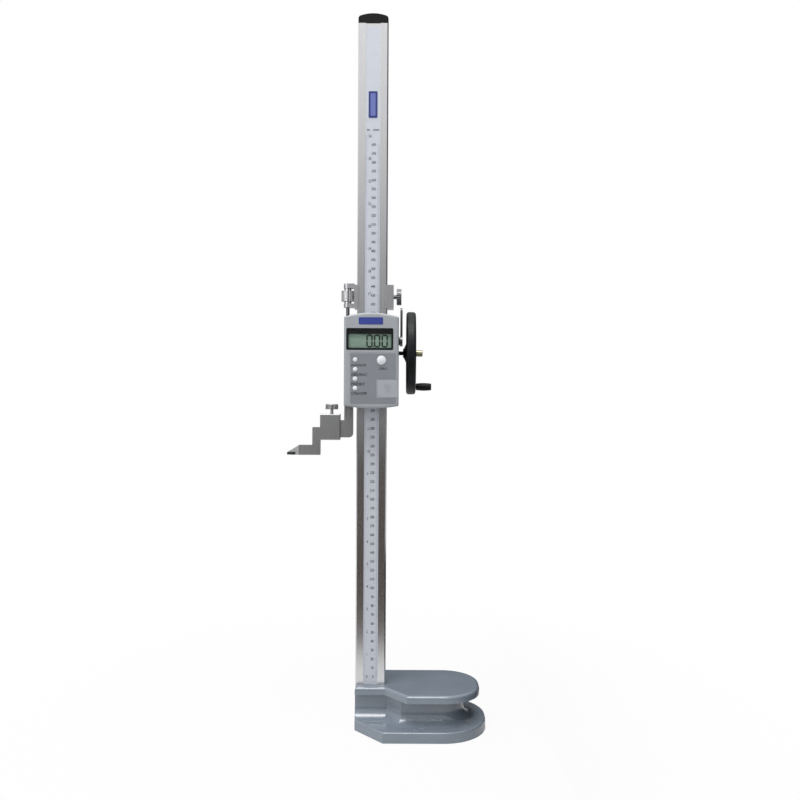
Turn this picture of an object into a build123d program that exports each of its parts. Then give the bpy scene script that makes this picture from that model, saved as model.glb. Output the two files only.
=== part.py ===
from build123d import *
from math import acos, cos, degrees, pi, radians, sin, tan

# Electronic height gauge, 600 mm, with a handwheel and a fine-adjustment carriage.
# Millimetres, +Z up. The origin is on the base's underside, under the axis of the beam.
# +X runs along the base, -Y is the reading side and the scriber points to -X.

# ---- Fits -------------------------------------------------------------------
slide_gap = 0.05          # ground sliding faces, each side
running_gap = 0.03        # radial, shafts and screws in their bores
screw_gap = 0.1           # radial, plain screws in clearance holes
panel_gap = 0.15          # moulded or pressed pieces in their openings
swing_gap = 0.3           # faces that turn or slide past each other

# ---- Base casting -----------------------------------------------------------
beam_width = 34.0
beam_depth = 16.0
flange_height = 11.5
flange_half = 54.0
flange_end_half = 19.0
flange_shoulder_x = 15.0
flange_end_x = 130.0
flange_corner = 50.0
flange_edge = 2.0
waist_half = 28.0
waist_neck_half = 12.0
waist_neck_x = 19.0
waist_shoulder_x = 35.0
waist_end_x = 105.5
waist_corner = 26.0
cove_radius = 14.0
plate_half = 45.0
plate_neck_half = 18.5
plate_neck_x = 16.5
plate_shoulder_x = 41.0
plate_rear_shoulder_x = 12.0   # the plate is cut back less behind the beam than in front
plate_end_x = 123.0
plate_corner = 40.0
plate_underside = 39.0
plate_height = 8.0
plate_edge = 3.5
relief_depth = 1.5
relief_half = 41.0
relief_start_x = 24.0
relief_start_half = 12.0
relief_shoulder_x = 40.0
relief_end_x = 117.0
relief_corner = 37.0
beam_seat_depth = 6.0
base_height = plate_underside + plate_height
cut_x = -beam_width / 2   # the base ends flush with the beam, so the jaw can pass it

# ---- Beam, scale and rack ---------------------------------------------------
beam_top = 793.0
beam_edge = 1.2
strip_width = 16.4
strip_thickness = 0.4
strip_recess = 0.6
strip_end_margin = 4.0
cap_side_height = 7.5
cap_height = 11.0
cap_corner = 3.0
cap_plug_diameter = 6.0
cap_plug_length = 8.0
beam_screw_diameter = 6.0
beam_screw_head = 10.0
beam_screw_head_height = 6.0
beam_screw_inset = 7.5    # from the beam's sides
beam_screw_grip = 14.0    # length of thread in the beam
beam_screw_socket = 5.0
beam_screw_socket_depth = 3.0
head_sink = 1.5           # the heads lie this far above the underside
module = 1.0
pinion_teeth = 18
pressure_angle = 20.0
tooth_backlash = 0.12
mesh_clearance = 0.05
dedendum = 1.25 * module
rack_width = 8.0
rack_body = 3.0           # depth of the bar under the tooth roots
rack_sink = 0.2           # the tooth tips lie this far inside the beam's back face
rack_end_margin = 50.0     # plain beam left above and below the rack

# ---- Slider, measured up from its datum, the lower edge of the housing -------
datum_z = 358.7
frame_bottom = datum_z + 2.6
frame_top = datum_z + 102.4
frame_left = -31.0
frame_right = 28.6
frame_front = -14.0
gib_thickness = 2.0
gib_width = 13.0
gib_end_margin = 3.0
gib_screw_diameter = 4.0
gib_screw_length = 8.0
gib_screw_slot = 0.8
gib_screw_slot_depth = 1.0
gib_screw_heights = [datum_z + 14.0, datum_z + 45.0, datum_z + 96.0]
back_plate_thickness = 4.0
back_plate_corner = 3.0
back_screw_diameter = 3.0
back_screw_head = 5.6
back_screw_length = 8.0
back_screw_inset = 5.0
back_screw_rows = 2
screw_slot = 0.8
screw_slot_depth = 0.7

# ---- Jaw, clamp and scriber ---------------------------------------------------
arm_right = -21.3
arm_depth = 12.0
arm_corner = 4.0
arm_groove_x = [-28.2, -23.6]
arm_groove_width = 0.9
arm_groove_depth = 0.8
foot_left = -35.3
foot_bottom = datum_z - 33.3
foot_top = datum_z - 14.0
jaw_face_z = datum_z - 22.0
jaw_bar_left = -57.0
jaw_bar_depth = 9.0
clamp_left = -58.1
clamp_right = -35.9
clamp_bottom = datum_z - 36.2
clamp_top = datum_z - 7.0
clamp_wall_y = 3.0
clamp_edge = 0.8
shank_height = 11.0
scriber_leg_left = -67.1
scriber_bottom = datum_z - 53.3
scriber_arm_height = 11.0
scriber_slope_x = -82.5
scriber_tip_x = -96.1
scriber_tip_height = 2.6
scriber_tip_half = 1.0
carbide_length = 9.0
carbide_height = 3.4
clamp_screw_x = -45.4
clamp_screw_diameter = 3.4
clamp_knob_diameter = 14.4
clamp_knob_bottom = datum_z - 1.7
clamp_knob_top = datum_z + 4.4
clamp_knob_edge = 0.7
clamp_knob_flutes = 20
clamp_knob_flute = 1.3

# ---- Handwheel drive ----------------------------------------------------------
wheel_z = datum_z + 63.3
shaft_diameter = 4.6
pinion_width = 7.0
pinion_side_gap = 0.5
bush_outer = 7.0
bush_length = 6.0
drive_left = -15.0
drive_depth = 17.0
drive_height = 30.0
drive_corner = 4.0
drive_edge = 1.0
drive_pocket_gap = 0.6
drive_screw_diameter = 3.0
drive_screw_head = 5.5
drive_screw_head_height = 3.0
drive_screw_socket = 2.5
drive_screw_socket_depth = 1.6
drive_screw_grip = 3.4
drive_screw_inset = 4.5
sleeve_right = 29.7
hub_left = 35.2
wheel_left = 38.9
wheel_right = 49.7
wheel_diameter = 95.0
rim_width = 7.0
rim_round = 3.0
web_left = 41.6
web_right = 45.6
hub_radius = 9.0
hub_neck_radius = 5.0
hub_right = 49.7
crank_inset = 8.8          # crank pin's centre, in from the wheel's edge
crank_boss_diameter = 12.0
crank_pin_diameter = 4.0
crank_pin_root = 4.0
crank_pin_head = 6.4
crank_pin_head_height = 1.0
crank_grip_diameter = 9.0
crank_grip_left = 50.3
crank_grip_right = 67.9
crank_grip_waist = 7.6
wheel_nut_diameter = 7.5
wheel_nut_left = 50.0
wheel_nut_right = 57.8
wheel_nut_bore_depth = 5.0
wheel_nut_edge = 0.4
wheel_nut_flutes = 18
wheel_nut_flute = 0.6
stud_diameter = 3.0

# ---- Fine-adjustment carriage ---------------------------------------------------
carriage_bottom = datum_z + 112.8
carriage_height = 26.0
carriage_left = -20.2
carriage_right = 24.2
carriage_back_wall = 4.5
carriage_lip = 1.6
carriage_lip_depth = 2.0
carriage_edge = 1.0
yoke_left = -32.3
yoke_depth = 11.0
yoke_upper_drop = 3.2      # from the carriage's top
yoke_upper_height = 5.2
yoke_lower_rise = 1.1      # from the carriage's underside
yoke_lower_height = 4.2
yoke_corner = 4.0
fine_axis_x = -27.8
fine_axis_y = 0.0
fine_screw_diameter = 4.0
fine_screw_root = 12.0
fine_screw_edge = 0.7
fine_nut_diameter = 14.6
fine_nut_hub = 8.0
fine_nut_hub_height = 2.6
fine_nut_flutes = 24
fine_nut_flute = 1.2
nut_end_gap = 0.2
pad_diameter = 6.0
pad_thickness = 1.6
carriage_screw_diameter = 5.0
carriage_screw_rise = 13.5  # from the carriage's underside
carriage_knob_left = 27.6
carriage_knob_right = 33.1
carriage_knob_diameter = 18.5
carriage_knob_dish = 1.2
carriage_dish_diameter = 14.0
carriage_dish_taper = 45.0
carriage_knob_flutes = 24
carriage_knob_flute = 1.4

# ---- Slider lock ------------------------------------------------------------------
lock_z = datum_z + 76.0
lock_stud_diameter = 5.0
lock_collar_diameter = 9.0
lock_collar_right = 31.4
lever_hub_diameter = 11.6
lever_hub_right = 34.6
lever_left = 31.9
lever_width = 5.0
lever_top = datum_z + 113.6
lever_end_diameter = 7.0

# ---- Display housing -----------------------------------------------------------------
housing_left = -29.5
housing_right = 30.4
housing_front = -36.0
housing_corner_bottom = datum_z + 2.6
housing_corner_top = datum_z + 100.3
housing_crown_top = datum_z + 104.9
housing_wall = 2.0
housing_front_wall = 2.5
housing_round = 2.4
housing_corner = 1.5
housing_back_thickness = 2.0
panel_left = -22.6
panel_right = 27.8
panel_bottom = datum_z + 4.6
panel_top = datum_z + 60.8
panel_recess = 0.4
panel_corner = 2.0
window_left = -27.2
window_right = 24.4
window_bottom = datum_z + 63.8
window_top = datum_z + 87.8
window_corner = 1.5
window_sink = 0.2
window_flange = 0.9
window_flange_thickness = 0.6
display_left = -25.4
display_right = 22.8
display_bottom = datum_z + 65.6
display_top = datum_z + 82.2
display_thickness = 1.8
board_thickness = 1.6
board_left = -26.0
board_right = 27.0
board_bottom = datum_z + 11.5
board_top = datum_z + 93.5
badge_left = -13.6
badge_right = 13.2
badge_bottom = datum_z + 91.7
badge_top = datum_z + 99.6
badge_thickness = 0.8
badge_proud = 0.3
badge_corner = 1.0
button_x = -17.2
button_heights = [datum_z + 53.2, datum_z + 42.6, datum_z + 32.2, datum_z + 22.0]
button_diameter = 5.0
button_proud = 1.0
button_flange = 1.0
button_flange_thickness = 0.8
button_edge = 0.5
zero_x = 11.5
zero_z = datum_z + 52.7
zero_diameter = 10.0
battery_diameter = 11.6
battery_height = 5.4
battery_x = 16.4
battery_z = datum_z + 21.7
battery_cup_wall = 1.2
battery_front = -34.0
contact_thickness = 0.4
contact_diameter = 8.0
cover_left = 7.6
cover_height = 19.5
cover_right = 29.6
cover_face = -35.8
cover_lip = 1.0
cover_lip_front = -35.0
cover_lip_back = -34.3
cover_corner = 1.0
cover_rib = 0.5
cover_ribs = 3
cover_rib_pitch = 2.2
cover_rib_length = 9.0
post_diameter = 6.0
post_x = 13.0
post_lower = datum_z + 8.0
post_upper = datum_z + 97.0
housing_screw_diameter = 2.5
housing_screw_head = 4.6
housing_screw_head_height = 1.6
housing_screw_grip = 6.0
housing_screw_length = 12.0
sensor_width = 18.0
sensor_bottom = datum_z + 22.0
sensor_top = datum_z + 88.0
sensor_thickness = 1.6
sensor_gap = 0.6

# ---- Values that follow from the ones above --------------------------------------------
beam_foot = base_height - beam_seat_depth
beam_screw_spacing = beam_width - 2 * beam_screw_inset
rack_pitch = pi * module
rack_teeth_below = int((wheel_z - base_height - rack_end_margin) / rack_pitch)
rack_teeth_above = int((beam_top - rack_end_margin - wheel_z) / rack_pitch)
rack_teeth = rack_teeth_below + 1 + rack_teeth_above
rack_middle = wheel_z + (rack_teeth_above - rack_teeth_below) * rack_pitch / 2
crank_radius = wheel_diameter / 2 - crank_inset
carriage_top = carriage_bottom + carriage_height
carriage_screw_z = carriage_bottom + carriage_screw_rise
yoke_upper_bottom = carriage_top - yoke_upper_drop
yoke_lower_bottom = carriage_bottom + yoke_lower_rise
yoke_upper_top = yoke_upper_bottom + yoke_upper_height
yoke_lower_top = yoke_lower_bottom + yoke_lower_height
pitch_radius = module * pinion_teeth / 2
pitch_line_y = beam_depth / 2 - rack_sink - module
axis_y = pitch_line_y + pitch_radius + mesh_clearance
back_plate_front = beam_depth / 2 + swing_gap
back_plate_back = back_plate_front + back_plate_thickness
frame_inner_left = -beam_width / 2 - slide_gap
frame_inner_right = beam_width / 2 + slide_gap + gib_thickness
web_back = -beam_depth / 2 - slide_gap
inner_front = housing_front + housing_front_wall
board_front = inner_front + window_flange_thickness + display_thickness
board_back = board_front + board_thickness
battery_cup_back = battery_front + battery_height + contact_thickness + battery_cup_wall
cover_half = cover_height / 2


def tooth_half_angle(radius):
    """Half the angle that an involute pinion tooth takes up at a radius, in degrees."""
    base_radius = pitch_radius * cos(radians(pressure_angle))
    roll = acos(min(1.0, base_radius / radius))
    pitch_roll = radians(pressure_angle)
    half_at_pitch = pi / (2 * pinion_teeth) - tooth_backlash / (2 * pitch_radius)
    return degrees(half_at_pitch + (tan(pitch_roll) - pitch_roll) - (tan(roll) - roll))


def polar(radius, angle):
    """A point at a radius and an angle in degrees."""
    return (radius * cos(radians(angle)), radius * sin(radians(angle)))


def base_outline(front, rear, half, end_x, end_radius):
    """Face of a base section: a square-cut end, the points of the front and rear flanks, each
    given as a place along and a distance from the centre line, and a rounded far end."""
    corner_x = end_x - end_radius
    corner_y = half - end_radius
    with BuildLine() as outline:
        Polyline(*[(x, -y) for x, y in front], (corner_x, -half))
        CenterArc((corner_x, -corner_y), end_radius, -90, 90)
        Line((end_x, -corner_y), (end_x, corner_y))
        CenterArc((corner_x, corner_y), end_radius, 0, 90)
        Polyline((corner_x, half), *reversed(rear))
        Line(rear[0], (front[0][0], -front[0][1]))
    make_face(outline.edges())


def span(left, right, bottom, top, corner=0.0):
    """Rectangle between two places across and two places up, with rounded corners."""
    with Locations(((left + right) / 2, (bottom + top) / 2)):
        if corner:
            RectangleRounded(right - left, top - bottom, corner)
        else:
            Rectangle(right - left, top - bottom)


def knurled(diameter, flutes, flute):
    """Round knob section with shallow flutes round its edge."""
    Circle(diameter / 2)
    with PolarLocations(diameter / 2 + flute / 3, flutes):
        Circle(flute / 2, mode=Mode.SUBTRACT)


def beam_section(grow=0.0):
    """The beam's outline with its bevelled edges, grown by a clearance."""
    Rectangle(beam_width + 2 * grow, beam_depth + 2 * grow)
    chamfer(vertices(), beam_edge)


def facing(y):
    """Plane across the reading side at a place in depth; local y is up and it faces the reader."""
    return Plane.XZ.offset(-y)


def across(x):
    """Plane square to the X axis at a place; local x is depth and local y is up."""
    return Plane.YZ.offset(x)


# ======================= Base, beam and what is fixed to them =======================

# Waist with its finger cove. The cove is a fillet on a foot that runs past the base, so that it
# ends cleanly at the cut end; then what lies past the flange's edge or below its top is cut off.
overrun = 2 * cove_radius
flange_slope = (flange_half - flange_end_half) / (flange_shoulder_x - cut_x)
flange_flank = [(cut_x, flange_end_half), (flange_shoulder_x, flange_half)]
inset_flank = [(cut_x - flange_edge, flange_end_half - flange_edge * flange_slope),
               (flange_shoulder_x, flange_half)]
foot_flank = [(cut_x - overrun, flange_half), (flange_shoulder_x, flange_half)]
waist_flank = [(cut_x - overrun, waist_neck_half), (waist_neck_x, waist_neck_half),
               (waist_shoulder_x, waist_half)]
with BuildPart() as waist:
    with BuildSketch(Plane.XY):
        base_outline(foot_flank, foot_flank, flange_half, flange_end_x, flange_corner)
    extrude(amount=flange_height)
    with BuildSketch(Plane.XY.offset(flange_height)):
        base_outline(waist_flank, waist_flank, waist_half, waist_end_x, waist_corner)
    extrude(amount=plate_underside - flange_height)
    fillet(edges(Select.LAST).group_by(Axis.Z)[0].sort_by(Axis.X)[2:], cove_radius)
    with BuildSketch(Plane.XY.offset(flange_height)):
        base_outline(inset_flank, inset_flank, flange_half, flange_end_x, flange_corner)
        offset(amount=-flange_edge)
    extrude(amount=plate_underside - flange_height, mode=Mode.INTERSECT)

# Base: a heavy foot flange with a rounded edge, the waist, a top plate and the beam's seat.
plate_front = [(cut_x, plate_neck_half), (plate_neck_x, plate_neck_half),
               (plate_shoulder_x, plate_half)]
plate_rear = [(cut_x, plate_neck_half), (plate_rear_shoulder_x, plate_half)]
relief_flank = [(relief_start_x, relief_start_half), (relief_shoulder_x, relief_half)]
with BuildPart() as base_casting:
    with BuildSketch(Plane.XY):
        base_outline(flange_flank, flange_flank, flange_half, flange_end_x, flange_corner)
    extrude(amount=flange_height)
    fillet(edges().group_by(Axis.Z)[-1].sort_by(Axis.X)[1:], flange_edge)
    add(waist.part)
    with BuildSketch(Plane.XY.offset(plate_underside)):
        base_outline(plate_front, plate_rear, plate_half, plate_end_x, plate_corner)
    extrude(amount=plate_height)
    fillet(faces().sort_by(Axis.Z)[-1].outer_wire().edges(), plate_edge)
    with BuildSketch(Plane.XY):
        base_outline(relief_flank, relief_flank, relief_half, relief_end_x, relief_corner)
    extrude(amount=relief_depth, mode=Mode.SUBTRACT)
    with BuildSketch(Plane.XY.offset(beam_foot)):
        beam_section(screw_gap)
    extrude(amount=beam_seat_depth, mode=Mode.SUBTRACT)
    with Locations(Plane.XY.rotated((180, 0, 0))):
        with GridLocations(beam_screw_spacing, 0, 2, 1):
            CounterBoreHole(beam_screw_diameter / 2 + screw_gap, beam_screw_head / 2 + screw_gap,
                            beam_screw_head_height + head_sink)
base_casting.part.label = "base_casting"
export_step(base_casting.part, "parts/base_casting.step")

# Beam: bevelled bar with a recess for the scale in front and a groove for the rack behind.
with BuildPart() as beam:
    with BuildSketch(Plane.XY.offset(beam_foot)):
        beam_section()
        with Locations((0, -beam_depth / 2)):
            Rectangle(strip_width, 2 * strip_recess, mode=Mode.SUBTRACT)
        with Locations((0, beam_depth / 2)):
            Rectangle(rack_width, 2 * (rack_sink + module + dedendum + rack_body),
                      mode=Mode.SUBTRACT)
    extrude(amount=beam_top - beam_foot)
    with Locations(Plane.XY.offset(beam_foot)):
        with GridLocations(beam_screw_spacing, 0, 2, 1):
            Cylinder(beam_screw_diameter / 2 + running_gap, beam_screw_grip,
                     align=(Align.CENTER, Align.CENTER, Align.MIN), mode=Mode.SUBTRACT)
    with Locations((0, 0, beam_top)):
        Cylinder(cap_plug_diameter / 2, cap_plug_length,
                 align=(Align.CENTER, Align.CENTER, Align.MAX), mode=Mode.SUBTRACT)
beam.part.label = "beam"
export_step(beam.part, "parts/beam.step")

with BuildPart() as beam_screws:
    with Locations(Plane.XY.offset(head_sink)):
        with GridLocations(beam_screw_spacing, 0, 2, 1):
            Cylinder(beam_screw_head / 2, beam_screw_head_height,
                     align=(Align.CENTER, Align.CENTER, Align.MIN))
            Cylinder(beam_screw_diameter / 2, beam_foot - head_sink + beam_screw_grip - screw_gap,
                     align=(Align.CENTER, Align.CENTER, Align.MIN))
    with BuildSketch(Plane.XY.offset(head_sink)):
        with GridLocations(beam_screw_spacing, 0, 2, 1):
            RegularPolygon(beam_screw_socket / 2, 6, major_radius=False)
    extrude(amount=beam_screw_socket_depth, mode=Mode.SUBTRACT)
beam_screws.part.label = "beam_screws"
export_step(beam_screws.part, "parts/beam_screws.step")

strip_back = -beam_depth / 2 + strip_recess
with BuildPart() as scale_strip:
    with BuildSketch(facing(strip_back)):
        span(-strip_width / 2, strip_width / 2, base_height, beam_top - strip_end_margin)
    extrude(amount=strip_thickness)
scale_strip.part.label = "scale_strip"
export_step(scale_strip.part, "parts/scale_strip.step")

# Rack: straight-sided teeth all along a bar that lies in the beam's groove.
rack_root_y = pitch_line_y - dedendum
rack_length = rack_teeth * rack_pitch
gap_mouth = rack_pitch / 2 + 2 * module * tan(radians(pressure_angle))
with BuildPart() as rack:
    with BuildSketch(across(-rack_width / 2)):
        with Locations((rack_root_y - rack_body, rack_middle)):
            Rectangle(rack_body + dedendum + module, rack_length,
                      align=(Align.MIN, Align.CENTER))
        with Locations((pitch_line_y + module, rack_middle)):
            with GridLocations(0, rack_pitch, 1, rack_teeth):
                Trapezoid(gap_mouth, module + dedendum, 90 - pressure_angle, rotation=90,
                          align=(Align.CENTER, Align.MIN), mode=Mode.SUBTRACT)
    extrude(amount=rack_width)
rack.part.label = "rack"
export_step(rack.part, "parts/rack.step")

# Cap: plastic plug over the beam's end, no wider than the beam, with a crowned top.
with BuildPart() as top_cap:
    with BuildSketch(Plane.XZ):
        with BuildLine():
            Polyline((-beam_width / 2, beam_top + cap_side_height), (-beam_width / 2, beam_top),
                     (beam_width / 2, beam_top), (beam_width / 2, beam_top + cap_side_height))
            ThreePointArc((-beam_width / 2, beam_top + cap_side_height), (0, beam_top + cap_height),
                          (beam_width / 2, beam_top + cap_side_height))
        make_face()
        fillet(vertices().group_by(Axis.Y)[-1], cap_corner)
    extrude(amount=beam_depth / 2, both=True)
    with BuildSketch(Plane.XY.offset(beam_top)):
        beam_section()
    extrude(amount=cap_height, mode=Mode.INTERSECT)
    with Locations((0, 0, beam_top)):
        Cylinder(cap_plug_diameter / 2 - running_gap, cap_plug_length - screw_gap,
                 align=(Align.CENTER, Align.CENTER, Align.MAX))
top_cap.part.label = "top_cap"
export_step(top_cap.part, "parts/top_cap.step")

# ======================= Slider frame, jaw and drive housing =======================

screw_rows_z = (frame_bottom + frame_top) / 2
screw_row_pitch = (frame_top - frame_bottom - 2 * back_screw_inset) / (back_screw_rows - 1)
screw_column_x = [frame_left + back_screw_inset, frame_right - back_screw_inset]

# Slider frame: a channel round the beam, open at the back, with the jaw arm on its left.
with BuildPart() as slider_frame:
    with BuildSketch(Plane.XY.offset(frame_bottom)):
        span(frame_left, frame_right, frame_front, back_plate_front)
        with Locations(((frame_inner_left + frame_inner_right) / 2, web_back)):
            Rectangle(frame_inner_right - frame_inner_left, 2 * beam_depth,
                      align=(Align.CENTER, Align.MIN), mode=Mode.SUBTRACT)
    extrude(amount=frame_top - frame_bottom)
    with BuildSketch(Plane.XZ):
        span(frame_left, arm_right, foot_bottom, frame_bottom + arm_corner)
        span(foot_left, arm_right, foot_bottom, foot_top)
        fillet(vertices().group_by(Axis.Y)[0].sort_by(Axis.X)[-1], arm_corner)
    extrude(amount=arm_depth / 2, both=True)
    with BuildSketch(Plane.XZ):
        span(jaw_bar_left, foot_left, jaw_face_z, foot_top)
    extrude(amount=jaw_bar_depth / 2, both=True)
    with BuildSketch(facing(arm_groove_depth - arm_depth / 2)):
        for groove_x in arm_groove_x:
            span(groove_x - arm_groove_width / 2, groove_x + arm_groove_width / 2,
                 foot_top + arm_corner, frame_bottom)
    extrude(amount=arm_groove_depth, mode=Mode.SUBTRACT)
    with BuildSketch(facing(web_back)):
        span(-sensor_width / 2, sensor_width / 2, sensor_bottom, sensor_top)
    extrude(amount=sensor_thickness + sensor_gap, mode=Mode.SUBTRACT)
    for column_x in screw_column_x:
        with Locations(Plane.XZ.offset(-back_plate_front)):
            with Locations((column_x, screw_rows_z)):
                with GridLocations(0, screw_row_pitch, 1, back_screw_rows):
                    Cylinder(back_screw_diameter / 2 + running_gap, back_screw_length,
                             align=(Align.CENTER, Align.CENTER, Align.MIN), mode=Mode.SUBTRACT)
    for screw_z in gib_screw_heights:
        with Locations(Plane.YZ.offset(frame_inner_right)):
            with Locations((0, screw_z)):
                Cylinder(gib_screw_diameter / 2 + running_gap, frame_right - frame_inner_right,
                         align=(Align.CENTER, Align.CENTER, Align.MIN), mode=Mode.SUBTRACT)
    with Locations(Plane.YZ.offset(frame_inner_right)):
        with Locations((0, lock_z)):
            Cylinder(lock_stud_diameter / 2 + running_gap, frame_right - frame_inner_right,
                     align=(Align.CENTER, Align.CENTER, Align.MIN), mode=Mode.SUBTRACT)
    with Locations((fine_axis_x, fine_axis_y, frame_top)):
        Cylinder(fine_screw_diameter / 2 + running_gap, fine_screw_root,
                 align=(Align.CENTER, Align.CENTER, Align.MAX), mode=Mode.SUBTRACT)
    for post_z in (post_lower, post_upper):
        with Locations(Plane.XZ.offset(-web_back)):
            with Locations((-post_x, post_z), (post_x, post_z)):
                Cylinder(housing_screw_head / 2 + screw_gap, housing_screw_head_height + screw_gap,
                         align=(Align.CENTER, Align.CENTER, Align.MIN), mode=Mode.SUBTRACT)
                Cylinder(housing_screw_diameter / 2 + screw_gap, web_back - frame_front,
                         align=(Align.CENTER, Align.CENTER, Align.MIN), mode=Mode.SUBTRACT)
slider_frame.part.label = "slider_frame"
export_step(slider_frame.part, "parts/slider_frame.step")

# Gib: bronze strip between the frame's right wall and the beam, set by three grub screws.
with BuildPart() as gib_strip:
    with BuildSketch(across(frame_inner_right)):
        span(-gib_width / 2, gib_width / 2, frame_bottom + gib_end_margin,
             frame_top - gib_end_margin)
    extrude(amount=-gib_thickness)
gib_strip.part.label = "gib_strip"
export_step(gib_strip.part, "parts/gib_strip.step")

with BuildPart() as gib_screws:
    with BuildSketch(across(frame_inner_right)):
        with Locations(*[(0, screw_z) for screw_z in gib_screw_heights]):
            Circle(gib_screw_diameter / 2)
    extrude(amount=gib_screw_length)
    with BuildSketch(across(frame_inner_right + gib_screw_length)):
        with Locations(*[(0, screw_z) for screw_z in gib_screw_heights]):
            Rectangle(gib_screw_diameter, gib_screw_slot)
    extrude(amount=-gib_screw_slot_depth, mode=Mode.SUBTRACT)
gib_screws.part.label = "gib_screws"
export_step(gib_screws.part, "parts/gib_screws.step")

drive_screw_places = [(x, z) for x in (drive_left + drive_screw_inset,
                                       frame_right - drive_screw_inset)
                      for z in (wheel_z - drive_height / 2 + drive_screw_inset,
                                wheel_z + drive_height / 2 - drive_screw_inset)]
pinion_slot = pinion_width + 2 * pinion_side_gap
pinion_reach = pitch_radius + module + drive_pocket_gap

# Back plate: closes the slider's channel; a slot in it lets the pinion through to the rack.
with BuildPart() as back_plate:
    with BuildSketch(facing(back_plate_back)):
        span(frame_left, frame_right, frame_bottom, frame_top, back_plate_corner)
        with Locations((0, wheel_z)):
            Rectangle(pinion_slot, 2 * pinion_reach, mode=Mode.SUBTRACT)
        with Locations(*drive_screw_places):
            Circle(drive_screw_diameter / 2 + running_gap, mode=Mode.SUBTRACT)
    extrude(amount=back_plate_thickness)
    for column_x in screw_column_x:
        with Locations(Plane.XZ.offset(-back_plate_back)):
            with Locations((column_x, screw_rows_z)):
                with GridLocations(0, screw_row_pitch, 1, back_screw_rows):
                    Cylinder(back_screw_diameter / 2 + screw_gap, back_plate_thickness,
                             align=(Align.CENTER, Align.CENTER, Align.MIN), mode=Mode.SUBTRACT)
                    Cone(back_screw_head / 2 + screw_gap, back_screw_diameter / 2 + screw_gap,
                         (back_screw_head - back_screw_diameter) / 2,
                         align=(Align.CENTER, Align.CENTER, Align.MIN), mode=Mode.SUBTRACT)
back_plate.part.label = "back_plate"
export_step(back_plate.part, "parts/back_plate.step")

with BuildPart() as back_plate_screws:
    for column_x in screw_column_x:
        with Locations(Plane.XZ.offset(-back_plate_back)):
            with Locations((column_x, screw_rows_z)):
                with GridLocations(0, screw_row_pitch, 1, back_screw_rows):
                    Cylinder(back_screw_diameter / 2, back_screw_length,
                             align=(Align.CENTER, Align.CENTER, Align.MIN))
                    Cone(back_screw_head / 2, back_screw_diameter / 2,
                         (back_screw_head - back_screw_diameter) / 2,
                         align=(Align.CENTER, Align.CENTER, Align.MIN))
                    Box(back_screw_head, screw_slot, screw_slot_depth,
                        align=(Align.CENTER, Align.CENTER, Align.MIN), mode=Mode.SUBTRACT)
back_plate_screws.part.label = "back_plate_screws"
export_step(back_plate_screws.part, "parts/back_plate_screws.step")

# Drive housing: holds the pinion shaft in two bushes behind the back plate.
drive_back = back_plate_back + drive_depth
with BuildPart() as drive_housing:
    with BuildSketch(facing(drive_back)):
        span(drive_left, frame_right, wheel_z - drive_height / 2, wheel_z + drive_height / 2,
             drive_corner)
    extrude(amount=drive_depth)
    fillet(faces().sort_by(Axis.Y)[-1].outer_wire().edges(), drive_edge)
    with BuildSketch(across(-pinion_slot / 2)):
        with Locations((axis_y, wheel_z)):
            Circle(pinion_reach)
        span(back_plate_back - panel_gap, axis_y, wheel_z - pinion_reach, wheel_z + pinion_reach)
    extrude(amount=pinion_slot, mode=Mode.SUBTRACT)
    with BuildSketch(across(drive_left)):
        with Locations((axis_y, wheel_z)):
            Circle(bush_outer / 2)
    extrude(amount=frame_right - drive_left, mode=Mode.SUBTRACT)
    with Locations(Plane.XZ.offset(-drive_back)):
        with Locations(*drive_screw_places):
            Cylinder(drive_screw_head / 2 + screw_gap, drive_screw_head_height,
                     align=(Align.CENTER, Align.CENTER, Align.MIN), mode=Mode.SUBTRACT)
            Cylinder(drive_screw_diameter / 2 + screw_gap, drive_depth,
                     align=(Align.CENTER, Align.CENTER, Align.MIN), mode=Mode.SUBTRACT)
drive_housing.part.label = "drive_housing"
export_step(drive_housing.part, "parts/drive_housing.step")

with BuildPart() as drive_screws:
    with Locations(Plane.XZ.offset(-drive_back)):
        with Locations(*drive_screw_places):
            Cylinder(drive_screw_head / 2, drive_screw_head_height,
                     align=(Align.CENTER, Align.CENTER, Align.MIN))
            Cylinder(drive_screw_diameter / 2, drive_depth + drive_screw_grip,
                     align=(Align.CENTER, Align.CENTER, Align.MIN))
    with BuildSketch(facing(drive_back)):
        with Locations(*drive_screw_places):
            RegularPolygon(drive_screw_socket / 2, 6, major_radius=False)
    extrude(amount=drive_screw_socket_depth, mode=Mode.SUBTRACT)
drive_screws.part.label = "drive_screws"
export_step(drive_screws.part, "parts/drive_screws.step")

# Shaft bushes: a blind-side bush and a longer sleeve that shows beside the housing.
with BuildPart() as shaft_bushes:
    for start_x, end_x in ((drive_left, drive_left + bush_length),
                           (frame_right - bush_length, sleeve_right)):
        with BuildSketch(across(start_x)):
            with Locations((axis_y, wheel_z)):
                Circle(bush_outer / 2)
                Circle(shaft_diameter / 2 + running_gap, mode=Mode.SUBTRACT)
        extrude(amount=end_x - start_x)
shaft_bushes.part.label = "shaft_bushes"
export_step(shaft_bushes.part, "parts/shaft_bushes.step")

# ======================= Handwheel =======================

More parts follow.
